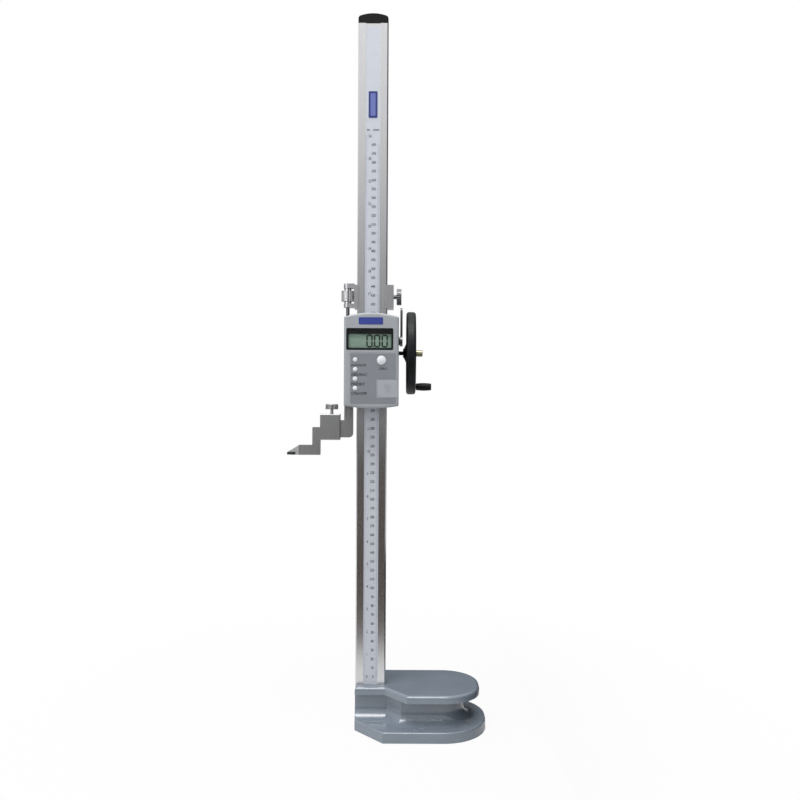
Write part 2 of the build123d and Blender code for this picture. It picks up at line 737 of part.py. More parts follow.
with BuildSketch() as pinion_tooth:
    base_radius = pitch_radius * cos(radians(pressure_angle))
    root_radius = pitch_radius - dedendum
    tip_radius = pitch_radius + module
    flank_radii = [base_radius, (base_radius + pitch_radius) / 2, pitch_radius, tip_radius]
    with BuildLine():
        Line(polar(root_radius - module / 2, tooth_half_angle(base_radius)),
             polar(base_radius, tooth_half_angle(base_radius)))
        Spline(*[polar(r, tooth_half_angle(r)) for r in flank_radii])
        ThreePointArc(polar(tip_radius, tooth_half_angle(tip_radius)), (tip_radius, 0),
                      polar(tip_radius, -tooth_half_angle(tip_radius)))
        Spline(*[polar(r, -tooth_half_angle(r)) for r in reversed(flank_radii)])
        Line(polar(base_radius, -tooth_half_angle(base_radius)),
             polar(root_radius - module / 2, -tooth_half_angle(base_radius)))
        Line(polar(root_radius - module / 2, -tooth_half_angle(base_radius)),
             polar(root_radius - module / 2, tooth_half_angle(base_radius)))
    make_face()

wheel_axis = Axis((0, axis_y, wheel_z), (1, 0, 0))
wheel_plane = Plane((0, axis_y, wheel_z), x_dir=(1, 0, 0), z_dir=(0, -1, 0))
pinion_plane = Plane((-pinion_width / 2, axis_y, wheel_z), x_dir=(0, 1, 0), z_dir=(1, 0, 0))

# Pinion shaft: one turned and cut piece, with a threaded stud for the wheel nut on its end.
with BuildPart() as pinion_shaft:
    with BuildSketch(pinion_plane):
        Circle(root_radius)
        with PolarLocations(0, pinion_teeth):
            add(pinion_tooth.sketch)
    extrude(amount=pinion_width)
    with BuildSketch(wheel_plane):
        span(drive_left + panel_gap, hub_right, 0, shaft_diameter / 2)
        span(hub_right, wheel_nut_left + wheel_nut_bore_depth - screw_gap, 0, stud_diameter / 2)
    revolve(axis=wheel_axis)
pinion_shaft.part.label = "pinion_shaft"
export_step(pinion_shaft.part, "parts/pinion_shaft.step")

# Handwheel: dished disc with a thick rim, a flared hub and a boss for the crank pin.
with BuildPart() as handwheel:
    rim_inner = wheel_diameter / 2 - rim_width
    with BuildSketch(wheel_plane):
        with BuildLine():
            Polyline((hub_left, shaft_diameter / 2), (hub_left, hub_neck_radius),
                     (web_left, hub_radius), (web_left, rim_inner), (wheel_left, rim_inner),
                     (wheel_left, wheel_diameter / 2), (wheel_right, wheel_diameter / 2),
                     (wheel_right, rim_inner), (web_right, rim_inner), (web_right, hub_radius),
                     (hub_right, hub_radius), (hub_right, shaft_diameter / 2),
                     (hub_left, shaft_diameter / 2))
        make_face()
        fillet(vertices().group_by(Axis.Y)[-2].sort_by(Axis.X)[1:3], (web_left - wheel_left) / 2)
        fillet(vertices().group_by(Axis.Y)[-1], rim_round)
    revolve(axis=wheel_axis)
    with BuildSketch(across(web_left)):
        with Locations((axis_y, wheel_z - crank_radius)):
            Circle(crank_boss_diameter / 2)
    extrude(amount=wheel_right - web_left)
    with BuildSketch(across(wheel_right)):
        with Locations((axis_y, wheel_z - crank_radius)):
            Circle(crank_pin_diameter / 2)
    extrude(amount=-crank_pin_root, mode=Mode.SUBTRACT)
handwheel.part.label = "handwheel"
export_step(handwheel.part, "parts/handwheel.step")

crank_axis = Axis((0, axis_y, wheel_z - crank_radius), (1, 0, 0))
crank_plane = Plane((0, axis_y, wheel_z - crank_radius), x_dir=(1, 0, 0), z_dir=(0, -1, 0))
pin_head_left = crank_grip_right - crank_pin_head_height

# Crank pin: a shouldered pin fixed in the wheel; its head keeps the grip on.
with BuildPart() as crank_pin:
    with BuildSketch(crank_plane):
        span(wheel_right - crank_pin_root, pin_head_left, 0, crank_pin_diameter / 2)
        span(pin_head_left, crank_grip_right, 0, crank_pin_head / 2)
    revolve(axis=crank_axis)
crank_pin.part.label = "crank_pin"
export_step(crank_pin.part, "parts/crank_pin.step")

with BuildPart() as crank_grip:
    with BuildSketch(crank_plane):
        with BuildLine():
            bore = crank_pin_diameter / 2 + running_gap
            recess_left = pin_head_left - swing_gap
            recess_radius = crank_pin_head / 2 + swing_gap
            Polyline((crank_grip_left, crank_grip_waist / 2), (crank_grip_left, bore),
                     (recess_left, bore), (recess_left, recess_radius),
                     (crank_grip_right, recess_radius), (crank_grip_right, crank_grip_waist / 2))
            ThreePointArc((crank_grip_right, crank_grip_waist / 2),
                          ((crank_grip_left + crank_grip_right) / 2, crank_grip_diameter / 2),
                          (crank_grip_left, crank_grip_waist / 2))
        make_face()
    revolve(axis=crank_axis)
crank_grip.part.label = "crank_grip"
export_step(crank_grip.part, "parts/crank_grip.step")

# Wheel nut: knurled brass cap nut that locks the wheel on the shaft.
with BuildPart() as wheel_nut:
    with BuildSketch(Plane((wheel_nut_left, axis_y, wheel_z), x_dir=(0, 1, 0), z_dir=(1, 0, 0))):
        knurled(wheel_nut_diameter, wheel_nut_flutes, wheel_nut_flute)
    extrude(amount=wheel_nut_right - wheel_nut_left)
    chamfer(faces().sort_by(Axis.X)[-1].outer_wire().edges(), wheel_nut_edge)
    with BuildSketch(across(wheel_nut_left)):
        with Locations((axis_y, wheel_z)):
            Circle(stud_diameter / 2 + running_gap)
    extrude(amount=wheel_nut_bore_depth, mode=Mode.SUBTRACT)
wheel_nut.part.label = "wheel_nut"
export_step(wheel_nut.part, "parts/wheel_nut.step")

# ======================= Fine-adjustment carriage =======================

# Carriage: wraps the beam from behind, with thin lips over the beam's front bevels. Two yoke arms
# on its left hold the fine-adjustment nut between them.
with BuildPart() as carriage:
    with BuildSketch(Plane.XY.offset(carriage_bottom)):
        span(carriage_left, carriage_right, -beam_depth / 2 - slide_gap - carriage_lip_depth,
             beam_depth / 2 + slide_gap + carriage_back_wall)
        fillet(vertices().group_by(Axis.Y)[-1], carriage_edge)
        beam_clear = beam_width / 2 + slide_gap
        span(-beam_clear, beam_clear, -beam_depth / 2 - slide_gap, beam_depth / 2 + slide_gap)
        with Locations((0, -beam_depth / 2)):
            Rectangle(beam_width + 2 * slide_gap, beam_depth + 2 * slide_gap,
                      align=(Align.CENTER, Align.MIN), mode=Mode.SUBTRACT)
            Rectangle(beam_width - 2 * carriage_lip, 2 * beam_depth,
                      align=(Align.CENTER, Align.CENTER), mode=Mode.SUBTRACT)
    extrude(amount=carriage_top - carriage_bottom)
    for arm_bottom, arm_height in ((yoke_lower_bottom, yoke_lower_height),
                                   (yoke_upper_bottom, yoke_upper_height)):
        with BuildSketch(Plane.XY.offset(arm_bottom)):
            span(yoke_left, carriage_left, -yoke_depth / 2, yoke_depth / 2)
            fillet(vertices().group_by(Axis.X)[0], yoke_corner)
            with Locations((fine_axis_x, fine_axis_y)):
                Circle(fine_screw_diameter / 2 + screw_gap, mode=Mode.SUBTRACT)
        extrude(amount=arm_height)
    with BuildSketch(across(carriage_right)):
        with Locations((0, carriage_screw_z)):
            Circle(carriage_screw_diameter / 2 + running_gap)
    extrude(amount=beam_width / 2 + slide_gap + pad_thickness - carriage_right,
            mode=Mode.SUBTRACT)
    with BuildSketch(across(beam_width / 2)):
        with Locations((0, carriage_screw_z)):
            Circle(pad_diameter / 2 + running_gap)
    extrude(amount=slide_gap + pad_thickness, mode=Mode.SUBTRACT)
carriage.part.label = "carriage"
export_step(carriage.part, "parts/carriage.step")

with BuildPart() as clamp_pad:
    with BuildSketch(across(beam_width / 2 + slide_gap)):
        with Locations((0, carriage_screw_z)):
            Circle(pad_diameter / 2)
    extrude(amount=pad_thickness - slide_gap)
clamp_pad.part.label = "clamp_pad"
export_step(clamp_pad.part, "parts/clamp_pad.step")

# Carriage screw: knurled head with a dished face, on a plain shank.
with BuildPart() as carriage_screw:
    with BuildSketch(across(beam_width / 2 + slide_gap + pad_thickness)):
        with Locations((0, carriage_screw_z)):
            Circle(carriage_screw_diameter / 2)
    extrude(amount=carriage_knob_left - beam_width / 2 - slide_gap - pad_thickness)
    with BuildSketch(Plane((carriage_knob_left, 0, carriage_screw_z), x_dir=(0, 1, 0),
                           z_dir=(1, 0, 0))):
        knurled(carriage_knob_diameter, carriage_knob_flutes, carriage_knob_flute)
    extrude(amount=carriage_knob_right - carriage_knob_left)
    with BuildSketch(across(carriage_knob_right)):
        with Locations((0, carriage_screw_z)):
            Circle(carriage_dish_diameter / 2)
    extrude(amount=-carriage_knob_dish, taper=carriage_dish_taper, mode=Mode.SUBTRACT)
carriage_screw.part.label = "carriage_screw"
export_step(carriage_screw.part, "parts/carriage_screw.step")

# Fine screw: fixed upright in the slider frame; it passes through both yoke arms.
with BuildPart() as fine_screw:
    with Locations((fine_axis_x, fine_axis_y, frame_top - fine_screw_root)):
        Cylinder(fine_screw_diameter / 2, yoke_upper_top + screw_gap - frame_top + fine_screw_root,
                 align=(Align.CENTER, Align.CENTER, Align.MIN))
    chamfer(edges().sort_by(Axis.Z)[-1], fine_screw_edge)
fine_screw.part.label = "fine_screw"
export_step(fine_screw.part, "parts/fine_screw.step")

# Fine nut: knurled disc with a hub at each end, held between the yoke arms.
nut_bottom = yoke_lower_top + nut_end_gap
nut_top = yoke_upper_bottom - nut_end_gap
with BuildPart() as fine_nut:
    with Locations((fine_axis_x, fine_axis_y, nut_bottom)):
        Cylinder(fine_nut_hub / 2, nut_top - nut_bottom,
                 align=(Align.CENTER, Align.CENTER, Align.MIN))
    with BuildSketch(Plane((fine_axis_x, fine_axis_y, nut_bottom + fine_nut_hub_height))):
        knurled(fine_nut_diameter, fine_nut_flutes, fine_nut_flute)
    extrude(amount=nut_top - nut_bottom - 2 * fine_nut_hub_height)
    with Locations((fine_axis_x, fine_axis_y, nut_bottom)):
        Cylinder(fine_screw_diameter / 2 + running_gap, nut_top - nut_bottom,
                 align=(Align.CENTER, Align.CENTER, Align.MIN), mode=Mode.SUBTRACT)
fine_nut.part.label = "fine_nut"
export_step(fine_nut.part, "parts/fine_nut.step")

# ======================= Slider lock =======================

lock_axis = Axis((0, 0, lock_z), (1, 0, 0))
lock_plane = Plane((0, 0, lock_z), x_dir=(1, 0, 0), z_dir=(0, -1, 0))

# Lock screw: bears on the gib; its collar and core carry the lever.
with BuildPart() as lock_screw:
    with BuildSketch(lock_plane):
        span(frame_inner_right, lever_hub_right, 0, lock_stud_diameter / 2)
        span(frame_right + swing_gap, lock_collar_right, 0, lock_collar_diameter / 2)
    revolve(axis=lock_axis)
    with BuildSketch(across(lever_hub_right)):
        with Locations((0, lock_z)):
            Rectangle(lock_stud_diameter, screw_slot)
    extrude(amount=-screw_slot_depth, mode=Mode.SUBTRACT)
lock_screw.part.label = "lock_screw"
export_step(lock_screw.part, "parts/lock_screw.step")

with BuildPart() as lock_lever:
    with BuildSketch(across(lock_collar_right)):
        with Locations((0, lock_z)):
            Circle(lever_hub_diameter / 2)
    extrude(amount=lever_hub_right - lock_collar_right)
    with BuildSketch(across(lever_left)):
        with BuildLine():
            tip_z = lever_top - lever_end_diameter / 2
            Polyline((-lever_end_diameter / 2, tip_z), (-lever_width / 2, lock_z),
                     (lever_width / 2, lock_z), (lever_end_diameter / 2, tip_z))
            ThreePointArc((lever_end_diameter / 2, tip_z), (0, lever_top),
                          (-lever_end_diameter / 2, tip_z))
        make_face()
    extrude(amount=lever_hub_right - lever_left)
    with BuildSketch(across(lock_collar_right)):
        with Locations((0, lock_z)):
            Circle(lock_stud_diameter / 2)
    extrude(amount=lever_hub_right - lock_collar_right, mode=Mode.SUBTRACT)
lock_lever.part.label = "lock_lever"
export_step(lock_lever.part, "parts/lock_lever.step")

# ======================= Scriber and its clamp =======================

clamp_y = jaw_bar_depth / 2 + screw_gap + clamp_wall_y

# Clamp: box that wraps the jaw bar and the scriber's shank under it.
with BuildPart() as scriber_clamp:
    with BuildSketch(across(clamp_left)):
        span(-clamp_y, clamp_y, clamp_bottom, clamp_top)
        with Locations((0, jaw_face_z - shank_height - screw_gap)):
            Rectangle(jaw_bar_depth + 2 * screw_gap, foot_top - jaw_face_z + shank_height + 2 * screw_gap,
                      align=(Align.CENTER, Align.MIN), mode=Mode.SUBTRACT)
    extrude(amount=clamp_right - clamp_left)
    chamfer(edges().filter_by(Axis.X).group_by(Axis.Z)[0]
            + edges().filter_by(Axis.X).group_by(Axis.Z)[-1], clamp_edge)
    with Locations((clamp_screw_x, 0, clamp_top)):
        Cylinder(clamp_screw_diameter / 2 + running_gap, clamp_top - foot_top,
                 align=(Align.CENTER, Align.CENTER, Align.MAX), mode=Mode.SUBTRACT)
scriber_clamp.part.label = "scriber_clamp"
export_step(scriber_clamp.part, "parts/scriber_clamp.step")

with BuildPart() as clamp_screw:
    with Locations((clamp_screw_x, 0, foot_top + slide_gap)):
        Cylinder(clamp_screw_diameter / 2, clamp_knob_bottom - foot_top - slide_gap,
                 align=(Align.CENTER, Align.CENTER, Align.MIN))
    with BuildSketch(Plane((clamp_screw_x, 0, clamp_knob_bottom))):
        knurled(clamp_knob_diameter, clamp_knob_flutes, clamp_knob_flute)
    extrude(amount=clamp_knob_top - clamp_knob_bottom)
    chamfer(faces().sort_by(Axis.Z)[-1].outer_wire().edges(), clamp_knob_edge)
clamp_screw.part.label = "clamp_screw"
export_step(clamp_screw.part, "parts/clamp_screw.step")

# Scriber: cranked square bar. The shank lies under the jaw bar and the lower arm ends in a slope.
shank_right = foot_left - swing_gap
carbide_root_x = scriber_tip_x + carbide_length
with BuildPart() as scriber:
    with BuildSketch(Plane.XZ):
        span(scriber_leg_left, shank_right, jaw_face_z - slide_gap - shank_height,
             jaw_face_z - slide_gap)
        span(scriber_leg_left, clamp_left - swing_gap, scriber_bottom, jaw_face_z - slide_gap)
        with BuildLine():
            slope = (scriber_arm_height - scriber_tip_height) / (scriber_slope_x - scriber_tip_x)
            seat_z = scriber_bottom + carbide_height
            seat_x = scriber_tip_x + (carbide_height - scriber_tip_height) / slope
            Polyline((scriber_leg_left, scriber_bottom), (carbide_root_x, scriber_bottom),
                     (carbide_root_x, seat_z), (seat_x, seat_z),
                     (scriber_slope_x, scriber_bottom + scriber_arm_height),
                     (scriber_leg_left, scriber_bottom + scriber_arm_height),
                     (scriber_leg_left, scriber_bottom))
        make_face()
    extrude(amount=jaw_bar_depth / 2, both=True)
    with BuildSketch(Plane.XY.offset(scriber_bottom)):
        with BuildLine():
            Polyline((shank_right, -jaw_bar_depth / 2), (scriber_slope_x, -jaw_bar_depth / 2),
                     (scriber_tip_x, -scriber_tip_half), (scriber_tip_x, scriber_tip_half),
                     (scriber_slope_x, jaw_bar_depth / 2), (shank_right, jaw_bar_depth / 2),
                     (shank_right, -jaw_bar_depth / 2))
        make_face()
    extrude(amount=jaw_face_z - scriber_bottom, mode=Mode.INTERSECT)
scriber.part.label = "scriber"
export_step(scriber.part, "parts/scriber.step")

# Carbide tip: brazed under the scriber's sloping end; its lower face is the measuring face.
with BuildPart() as carbide_tip:
    with BuildSketch(Plane.XZ):
        with BuildLine():
            Polyline((scriber_tip_x, scriber_bottom), (carbide_root_x, scriber_bottom),
                     (carbide_root_x, seat_z), (seat_x, seat_z),
                     (scriber_tip_x, scriber_bottom + scriber_tip_height),
                     (scriber_tip_x, scriber_bottom))
        make_face()
    extrude(amount=jaw_bar_depth / 2, both=True)
    with BuildSketch(Plane.XY.offset(scriber_bottom)):
        with BuildLine():
            Polyline((carbide_root_x, -jaw_bar_depth / 2), (scriber_slope_x, -jaw_bar_depth / 2),
                     (scriber_tip_x, -scriber_tip_half), (scriber_tip_x, scriber_tip_half),
                     (scriber_slope_x, jaw_bar_depth / 2), (carbide_root_x, jaw_bar_depth / 2))
        make_hull()
    extrude(amount=carbide_height, mode=Mode.INTERSECT)
carbide_tip.part.label = "carbide_tip"
export_step(carbide_tip.part, "parts/carbide_tip.step")

# ======================= Display housing and what it holds =======================


def housing_outline():
    """Front outline of the housing: straight sides between a crowned top and a bowed foot."""
    middle = (housing_left + housing_right) / 2
    with BuildLine() as outline:
        Line((housing_left, housing_corner_bottom), (housing_left, housing_corner_top))
        ThreePointArc((housing_left, housing_corner_top), (middle, housing_crown_top),
                      (housing_right, housing_corner_top))
        Line((housing_right, housing_corner_top), (housing_right, housing_corner_bottom))
        ThreePointArc((housing_right, housing_corner_bottom), (middle, datum_z),
                      (housing_left, housing_corner_bottom))
    make_face(outline.edges())


post_places = [(-post_x, post_lower), (post_x, post_lower),
               (-post_x, post_upper), (post_x, post_upper)]

# Housing: moulded front shell with the window, button holes, battery cup and screw posts. The
# battery cover's grooved channel runs out through its right side.
with BuildPart() as display_housing:
    with BuildSketch(facing(frame_front)):
        housing_outline()
        fillet(vertices(), housing_corner)
    extrude(amount=frame_front - housing_front)
    fillet(faces().sort_by(Axis.Y)[0].outer_wire().edges(), housing_round)
    with BuildSketch(facing(frame_front)):
        housing_outline()
        offset(amount=-housing_wall)
    extrude(amount=frame_front - inner_front, mode=Mode.SUBTRACT)
    with BuildSketch(facing(frame_front - housing_back_thickness)):
        with Locations(*post_places):
            Circle(post_diameter / 2)
    extrude(amount=frame_front - housing_back_thickness - inner_front)
    with BuildSketch(facing(inner_front)):
        with Locations((battery_x, battery_z)):
            Circle(battery_diameter / 2 + panel_gap + battery_cup_wall)
    extrude(amount=inner_front - battery_cup_back)
    with BuildSketch(facing(housing_front + panel_recess)):
        span(panel_left, panel_right, panel_bottom, panel_top, panel_corner)
    extrude(amount=panel_recess, mode=Mode.SUBTRACT)
    with BuildSketch(facing(inner_front)):
        span(window_left, window_right, window_bottom, window_top, window_corner)
        with Locations(*[(button_x, button_z) for button_z in button_heights]):
            Circle(button_diameter / 2 + panel_gap)
        with Locations((zero_x, zero_z)):
            Circle(zero_diameter / 2 + panel_gap)
    extrude(amount=housing_front_wall, mode=Mode.SUBTRACT)
    with BuildSketch(facing(housing_front + badge_thickness - badge_proud)):
        span(badge_left, badge_right, badge_bottom, badge_top, badge_corner)
    extrude(amount=badge_thickness, mode=Mode.SUBTRACT)
    with BuildSketch(facing(battery_front + battery_height + contact_thickness)):
        with Locations((battery_x, battery_z)):
            Circle(battery_diameter / 2 + panel_gap)
    extrude(amount=battery_front + battery_height + contact_thickness - housing_front,
            mode=Mode.SUBTRACT)
    with BuildSketch(facing(cover_lip_back + panel_gap)):
        span(cover_left - cover_lip - panel_gap, housing_right + housing_wall,
             battery_z - cover_half - cover_lip - panel_gap,
             battery_z + cover_half + cover_lip + panel_gap)
    extrude(amount=cover_lip_back - cover_lip_front + 2 * panel_gap, mode=Mode.SUBTRACT)
    with BuildSketch(facing(cover_lip_back)):
        span(cover_left - panel_gap, housing_right + housing_wall, battery_z - cover_half - panel_gap,
             battery_z + cover_half + panel_gap)
    extrude(amount=cover_lip_back - housing_front, mode=Mode.SUBTRACT)
    with BuildSketch(facing(frame_front - housing_back_thickness)):
        with Locations(*post_places):
            Circle(housing_screw_diameter / 2 + running_gap)
    extrude(amount=housing_screw_length, mode=Mode.SUBTRACT)
display_housing.part.label = "display_housing"
export_step(display_housing.part, "parts/display_housing.step")

with BuildPart() as housing_back:
    with BuildSketch(facing(frame_front)):
        housing_outline()
        offset(amount=-housing_wall - panel_gap)
        with Locations(*post_places):
            Circle(housing_screw_diameter / 2 + screw_gap, mode=Mode.SUBTRACT)
    extrude(amount=housing_back_thickness)
housing_back.part.label = "housing_back"
export_step(housing_back.part, "parts/housing_back.step")

# Housing screws: pass from the frame's web, on the beam's side, into the housing's posts.
with BuildPart() as housing_screws:
    with Locations(Plane.XZ.offset(screw_gap - web_back)):
        with Locations(*post_places):
            Cylinder(housing_screw_head / 2, housing_screw_head_height,
                     align=(Align.CENTER, Align.CENTER, Align.MIN))
            Cylinder(housing_screw_diameter / 2,
                     web_back - frame_front + housing_back_thickness + housing_screw_grip,
                     align=(Align.CENTER, Align.CENTER, Align.MIN))
            Box(housing_screw_head, screw_slot, screw_slot_depth,
                align=(Align.CENTER, Align.CENTER, Align.MIN), mode=Mode.SUBTRACT)
housing_screws.part.label = "housing_screws"
export_step(housing_screws.part, "parts/housing_screws.step")

# Window: clear pane in the front opening, with a thin flange behind the wall.
with BuildPart() as lcd_window:
    with BuildSketch(facing(inner_front)):
        span(window_left + panel_gap, window_right - panel_gap, window_bottom + panel_gap,
             window_top - panel_gap, window_corner)
    extrude(amount=housing_front_wall - window_sink)
    with BuildSketch(facing(inner_front + window_flange_thickness)):
        span(window_left, window_right + window_flange, window_bottom - window_flange,
             window_top + window_flange)
    extrude(amount=window_flange_thickness)
lcd_window.part.label = "lcd_window"
export_step(lcd_window.part, "parts/lcd_window.step")

with BuildPart() as lcd_module:
    with BuildSketch(facing(board_front)):
        span(display_left, display_right, display_bottom, display_top)
    extrude(amount=display_thickness)
lcd_module.part.label = "lcd_module"
export_step(lcd_module.part, "parts/lcd_module.step")

# Circuit board: notched round the battery cup, flat against the display.
with BuildPart() as circuit_board:
    with BuildSketch(facing(board_back)):
        span(board_left, board_right, board_bottom, board_top)
        with Locations((battery_x, battery_z)):
            Circle(battery_diameter / 2 + battery_cup_wall + 2 * panel_gap, mode=Mode.SUBTRACT)
    extrude(amount=board_thickness)
circuit_board.part.label = "circuit_board"
export_step(circuit_board.part, "parts/circuit_board.step")

# Sensor board: reads the scale through a small gap, in a pocket of the slider frame.
sensor_face = web_back - sensor_gap
with BuildPart() as sensor_board:
    with BuildSketch(facing(sensor_face)):
        span(-sensor_width / 2 + panel_gap, sensor_width / 2 - panel_gap,
             sensor_bottom + panel_gap, sensor_top - panel_gap)
    extrude(amount=sensor_thickness)
sensor_board.part.label = "sensor_board"
export_step(sensor_board.part, "parts/sensor_board.step")

with BuildPart() as battery:
    with BuildSketch(facing(battery_front + battery_height)):
        with Locations((battery_x, battery_z)):
            Circle(battery_diameter / 2)
    extrude(amount=battery_height)
    fillet(edges().group_by(Axis.Y)[-1], button_edge)
battery.part.label = "battery"
export_step(battery.part, "parts/battery.step")

with BuildPart() as battery_contact:
    with BuildSketch(facing(battery_front + battery_height + contact_thickness)):
        with Locations((battery_x, battery_z)):
            Circle(contact_diameter / 2)
    extrude(amount=contact_thickness)
battery_contact.part.label = "battery_contact"
export_step(battery_contact.part, "parts/battery_contact.step")

# Battery cover: slides out to the right; thin lips above, below and at its left run in grooves.
with BuildPart() as battery_cover:
    with BuildSketch(facing(cover_lip_back)):
        span(cover_left - cover_lip, cover_right, battery_z - cover_half - cover_lip,
             battery_z + cover_half + cover_lip)
    extrude(amount=cover_lip_back - cover_lip_front)
    with BuildSketch(facing(cover_lip_back)):
        span(cover_left, cover_right, battery_z - cover_half, battery_z + cover_half,
             cover_corner)
    extrude(amount=cover_lip_back - cover_face)
    with BuildSketch(facing(cover_face)):
        with Locations(((cover_left + cover_right) / 2, battery_z)):
            with GridLocations(cover_rib_pitch, 0, cover_ribs, 1):
                SlotOverall(cover_rib_length, cover_rib, rotation=90)
    extrude(amount=-cover_rib, mode=Mode.SUBTRACT)
battery_cover.part.label = "battery_cover"
export_step(battery_cover.part, "parts/battery_cover.step")

with BuildPart() as badge_plate:
    with BuildSketch(facing(housing_front + badge_thickness - badge_proud)):
        span(badge_left + panel_gap, badge_right - panel_gap, badge_bottom + panel_gap,
             badge_top - panel_gap, badge_corner)
    extrude(amount=badge_thickness)
badge_plate.part.label = "badge_plate"
export_step(badge_plate.part, "parts/badge_plate.step")

# Buttons: round caps with a flange that holds them behind the housing's wall.
panel_face = housing_front + panel_recess
for name, x, z, diameter in [("button_1", button_x, button_heights[0], button_diameter),
                             ("button_2", button_x, button_heights[1], button_diameter),
                             ("button_3", button_x, button_heights[2], button_diameter),
                             ("button_4", button_x, button_heights[3], button_diameter),
                             ("zero_button", zero_x, zero_z, zero_diameter)]:
    with BuildPart() as button:
        with BuildSketch(facing(inner_front + running_gap)):
            with Locations((x, z)):
                Circle(diameter / 2)
        extrude(amount=inner_front + running_gap - panel_face + button_proud)
        fillet(faces().sort_by(Axis.Y)[0].outer_wire().edges(), button_edge)
        with BuildSketch(facing(inner_front + running_gap + button_flange_thickness)):
            with Locations((x, z)):
                Circle(diameter / 2 + button_flange)
        extrude(amount=button_flange_thickness)
    button.part.label = name
    export_step(button.part, f"parts/{name}.step")
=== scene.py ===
from math import asin, cos, pi, radians, sin

import bmesh
import bpy
from mathutils import Matrix, Vector


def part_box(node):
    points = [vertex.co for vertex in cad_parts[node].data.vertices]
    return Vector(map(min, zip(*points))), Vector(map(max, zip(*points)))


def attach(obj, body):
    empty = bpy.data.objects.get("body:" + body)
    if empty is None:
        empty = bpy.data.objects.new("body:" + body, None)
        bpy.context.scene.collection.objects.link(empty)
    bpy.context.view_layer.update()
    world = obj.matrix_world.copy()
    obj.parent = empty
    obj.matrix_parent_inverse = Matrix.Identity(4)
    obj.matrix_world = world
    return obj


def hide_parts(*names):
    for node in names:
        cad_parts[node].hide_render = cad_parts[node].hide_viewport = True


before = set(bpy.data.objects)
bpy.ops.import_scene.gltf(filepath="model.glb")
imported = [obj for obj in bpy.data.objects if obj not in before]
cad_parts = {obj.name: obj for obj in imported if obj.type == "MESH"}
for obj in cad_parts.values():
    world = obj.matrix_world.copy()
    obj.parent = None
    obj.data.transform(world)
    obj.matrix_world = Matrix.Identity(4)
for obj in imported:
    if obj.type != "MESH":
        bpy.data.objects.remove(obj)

bl_info = {
    "name": "Height Gauge Dressing",
    "version": (1, 0, 0),
    "blender": (4, 5, 0),
    "location": "View3D > Sidebar > Height Gauge",
    "description": "Finishes, scale printing, display and studio for an electronic height gauge",
    "category": "Object",
}

# Blender's unit is the metre. The part stands on Z = 0, and the beam's axis is at X = Y = 0.
MM = 0.001
READER = Vector((0, -1, 0))          # the side that the scale and display face
SAME_PLACE = 1e-7                    # vertices nearer than this are joined
INCH = 25.4 * MM
PRINT_THICKNESS = 0.02 * MM
NOISE_SPAN = (0.35, 0.65)            # most of a noise's values lie between these
BUTTONS = ("button_1", "button_2", "button_3", "button_4", "zero_button")


# ---- Places taken from the frame ---------------------------------------------------------

def low(node):
    """Lowest corner of a CAD node at rest."""
    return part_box(node)[0]


def high(node):
    """Highest corner of a CAD node at rest."""
    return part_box(node)[1]


def middle(node):
    """Centre of a CAD node's box at rest."""
    return (low(node) + high(node)) / 2


def half_width(node):
    """Half of a CAD node's width along X."""
    return (high(node).x - low(node).x) / 2


# ---- Mesh helpers ------------------------------------------------------------------------

def new_piece(name, bm, material, body):
    """Makes a mesh object from a bmesh, gives it its material and lets it ride on a body."""
    bmesh.ops.recalc_face_normals(bm, faces=bm.faces)
    mesh = bpy.data.meshes.new(name)
    bm.to_mesh(mesh)
    bm.free()
    piece = bpy.data.objects.new(name, mesh)
    bpy.context.collection.objects.link(piece)
    mesh.materials.append(material)
    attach(piece, body)
    return piece


def smooth_shade(piece):
    """Shades a turned piece smoothly, but for its sharp edges."""
    piece.data.shade_smooth()
    piece.data.set_sharp_from_angle(angle=radians(40))


def add_plate(bm, x, z, width, height, back, front, corner=0.0, segments=4):
    """A flat plate that faces the reader, centred at x and z, between two depths."""
    made = bmesh.ops.create_cube(bm, size=1.0)["verts"]
    bmesh.ops.scale(bm, vec=(width, abs(back - front), height), verts=made)
    bmesh.ops.translate(bm, vec=(x, (back + front) / 2, z), verts=made)
    if corner:
        upright = [e for e in {e for v in made for e in v.link_edges}
                   if abs((e.verts[0].co - e.verts[1].co).normalized().y) > 0.9]
        bmesh.ops.bevel(bm, geom=upright, offset=corner, offset_type="OFFSET", segments=segments,
                        profile=0.5, affect="EDGES", material=-1)


def closed_loop(bm, points):
    """Adds vertices at the points and the edges that join them into a loop."""
    corners = [bm.verts.new(point) for point in points]
    return corners, [bm.edges.new(pair) for pair in zip(corners, corners[1:] + corners[:1])]


def text_mesh(words, size, align):
    """A flat mesh of words in the built-in typeface, slightly bold, in its own XY plane."""
    curve = bpy.data.curves.new("words", "FONT")
    curve.body = words
    curve.size = size
    curve.align_x = align
    curve.align_y = "CENTER"
    curve.resolution_u = 2
    curve.offset = 0.02 * size
    holder = bpy.data.objects.new("words", curve)
    bpy.context.collection.objects.link(holder)
    graph = bpy.context.evaluated_depsgraph_get()
    mesh = bpy.data.meshes.new_from_object(holder.evaluated_get(graph))
    bpy.data.objects.remove(holder)
    bpy.data.curves.remove(curve)
    return mesh


def add_words(bm, words, x, y, z, size, align="CENTER", stretch=1.0):
    """Adds printed words that face the reader at a place, as a flat mesh."""
    mesh = text_mesh(words, size, align)
    before = set(bm.verts)
    bm.from_mesh(mesh)
    bpy.data.meshes.remove(mesh)
    made = [v for v in bm.verts if v not in before]
    place = (Matrix.Translation((x, y, z)) @ Matrix.Rotation(radians(90), 4, "X")
             @ Matrix.Diagonal((stretch, 1, 1, 1)))
    bmesh.ops.transform(bm, matrix=place, verts=made)


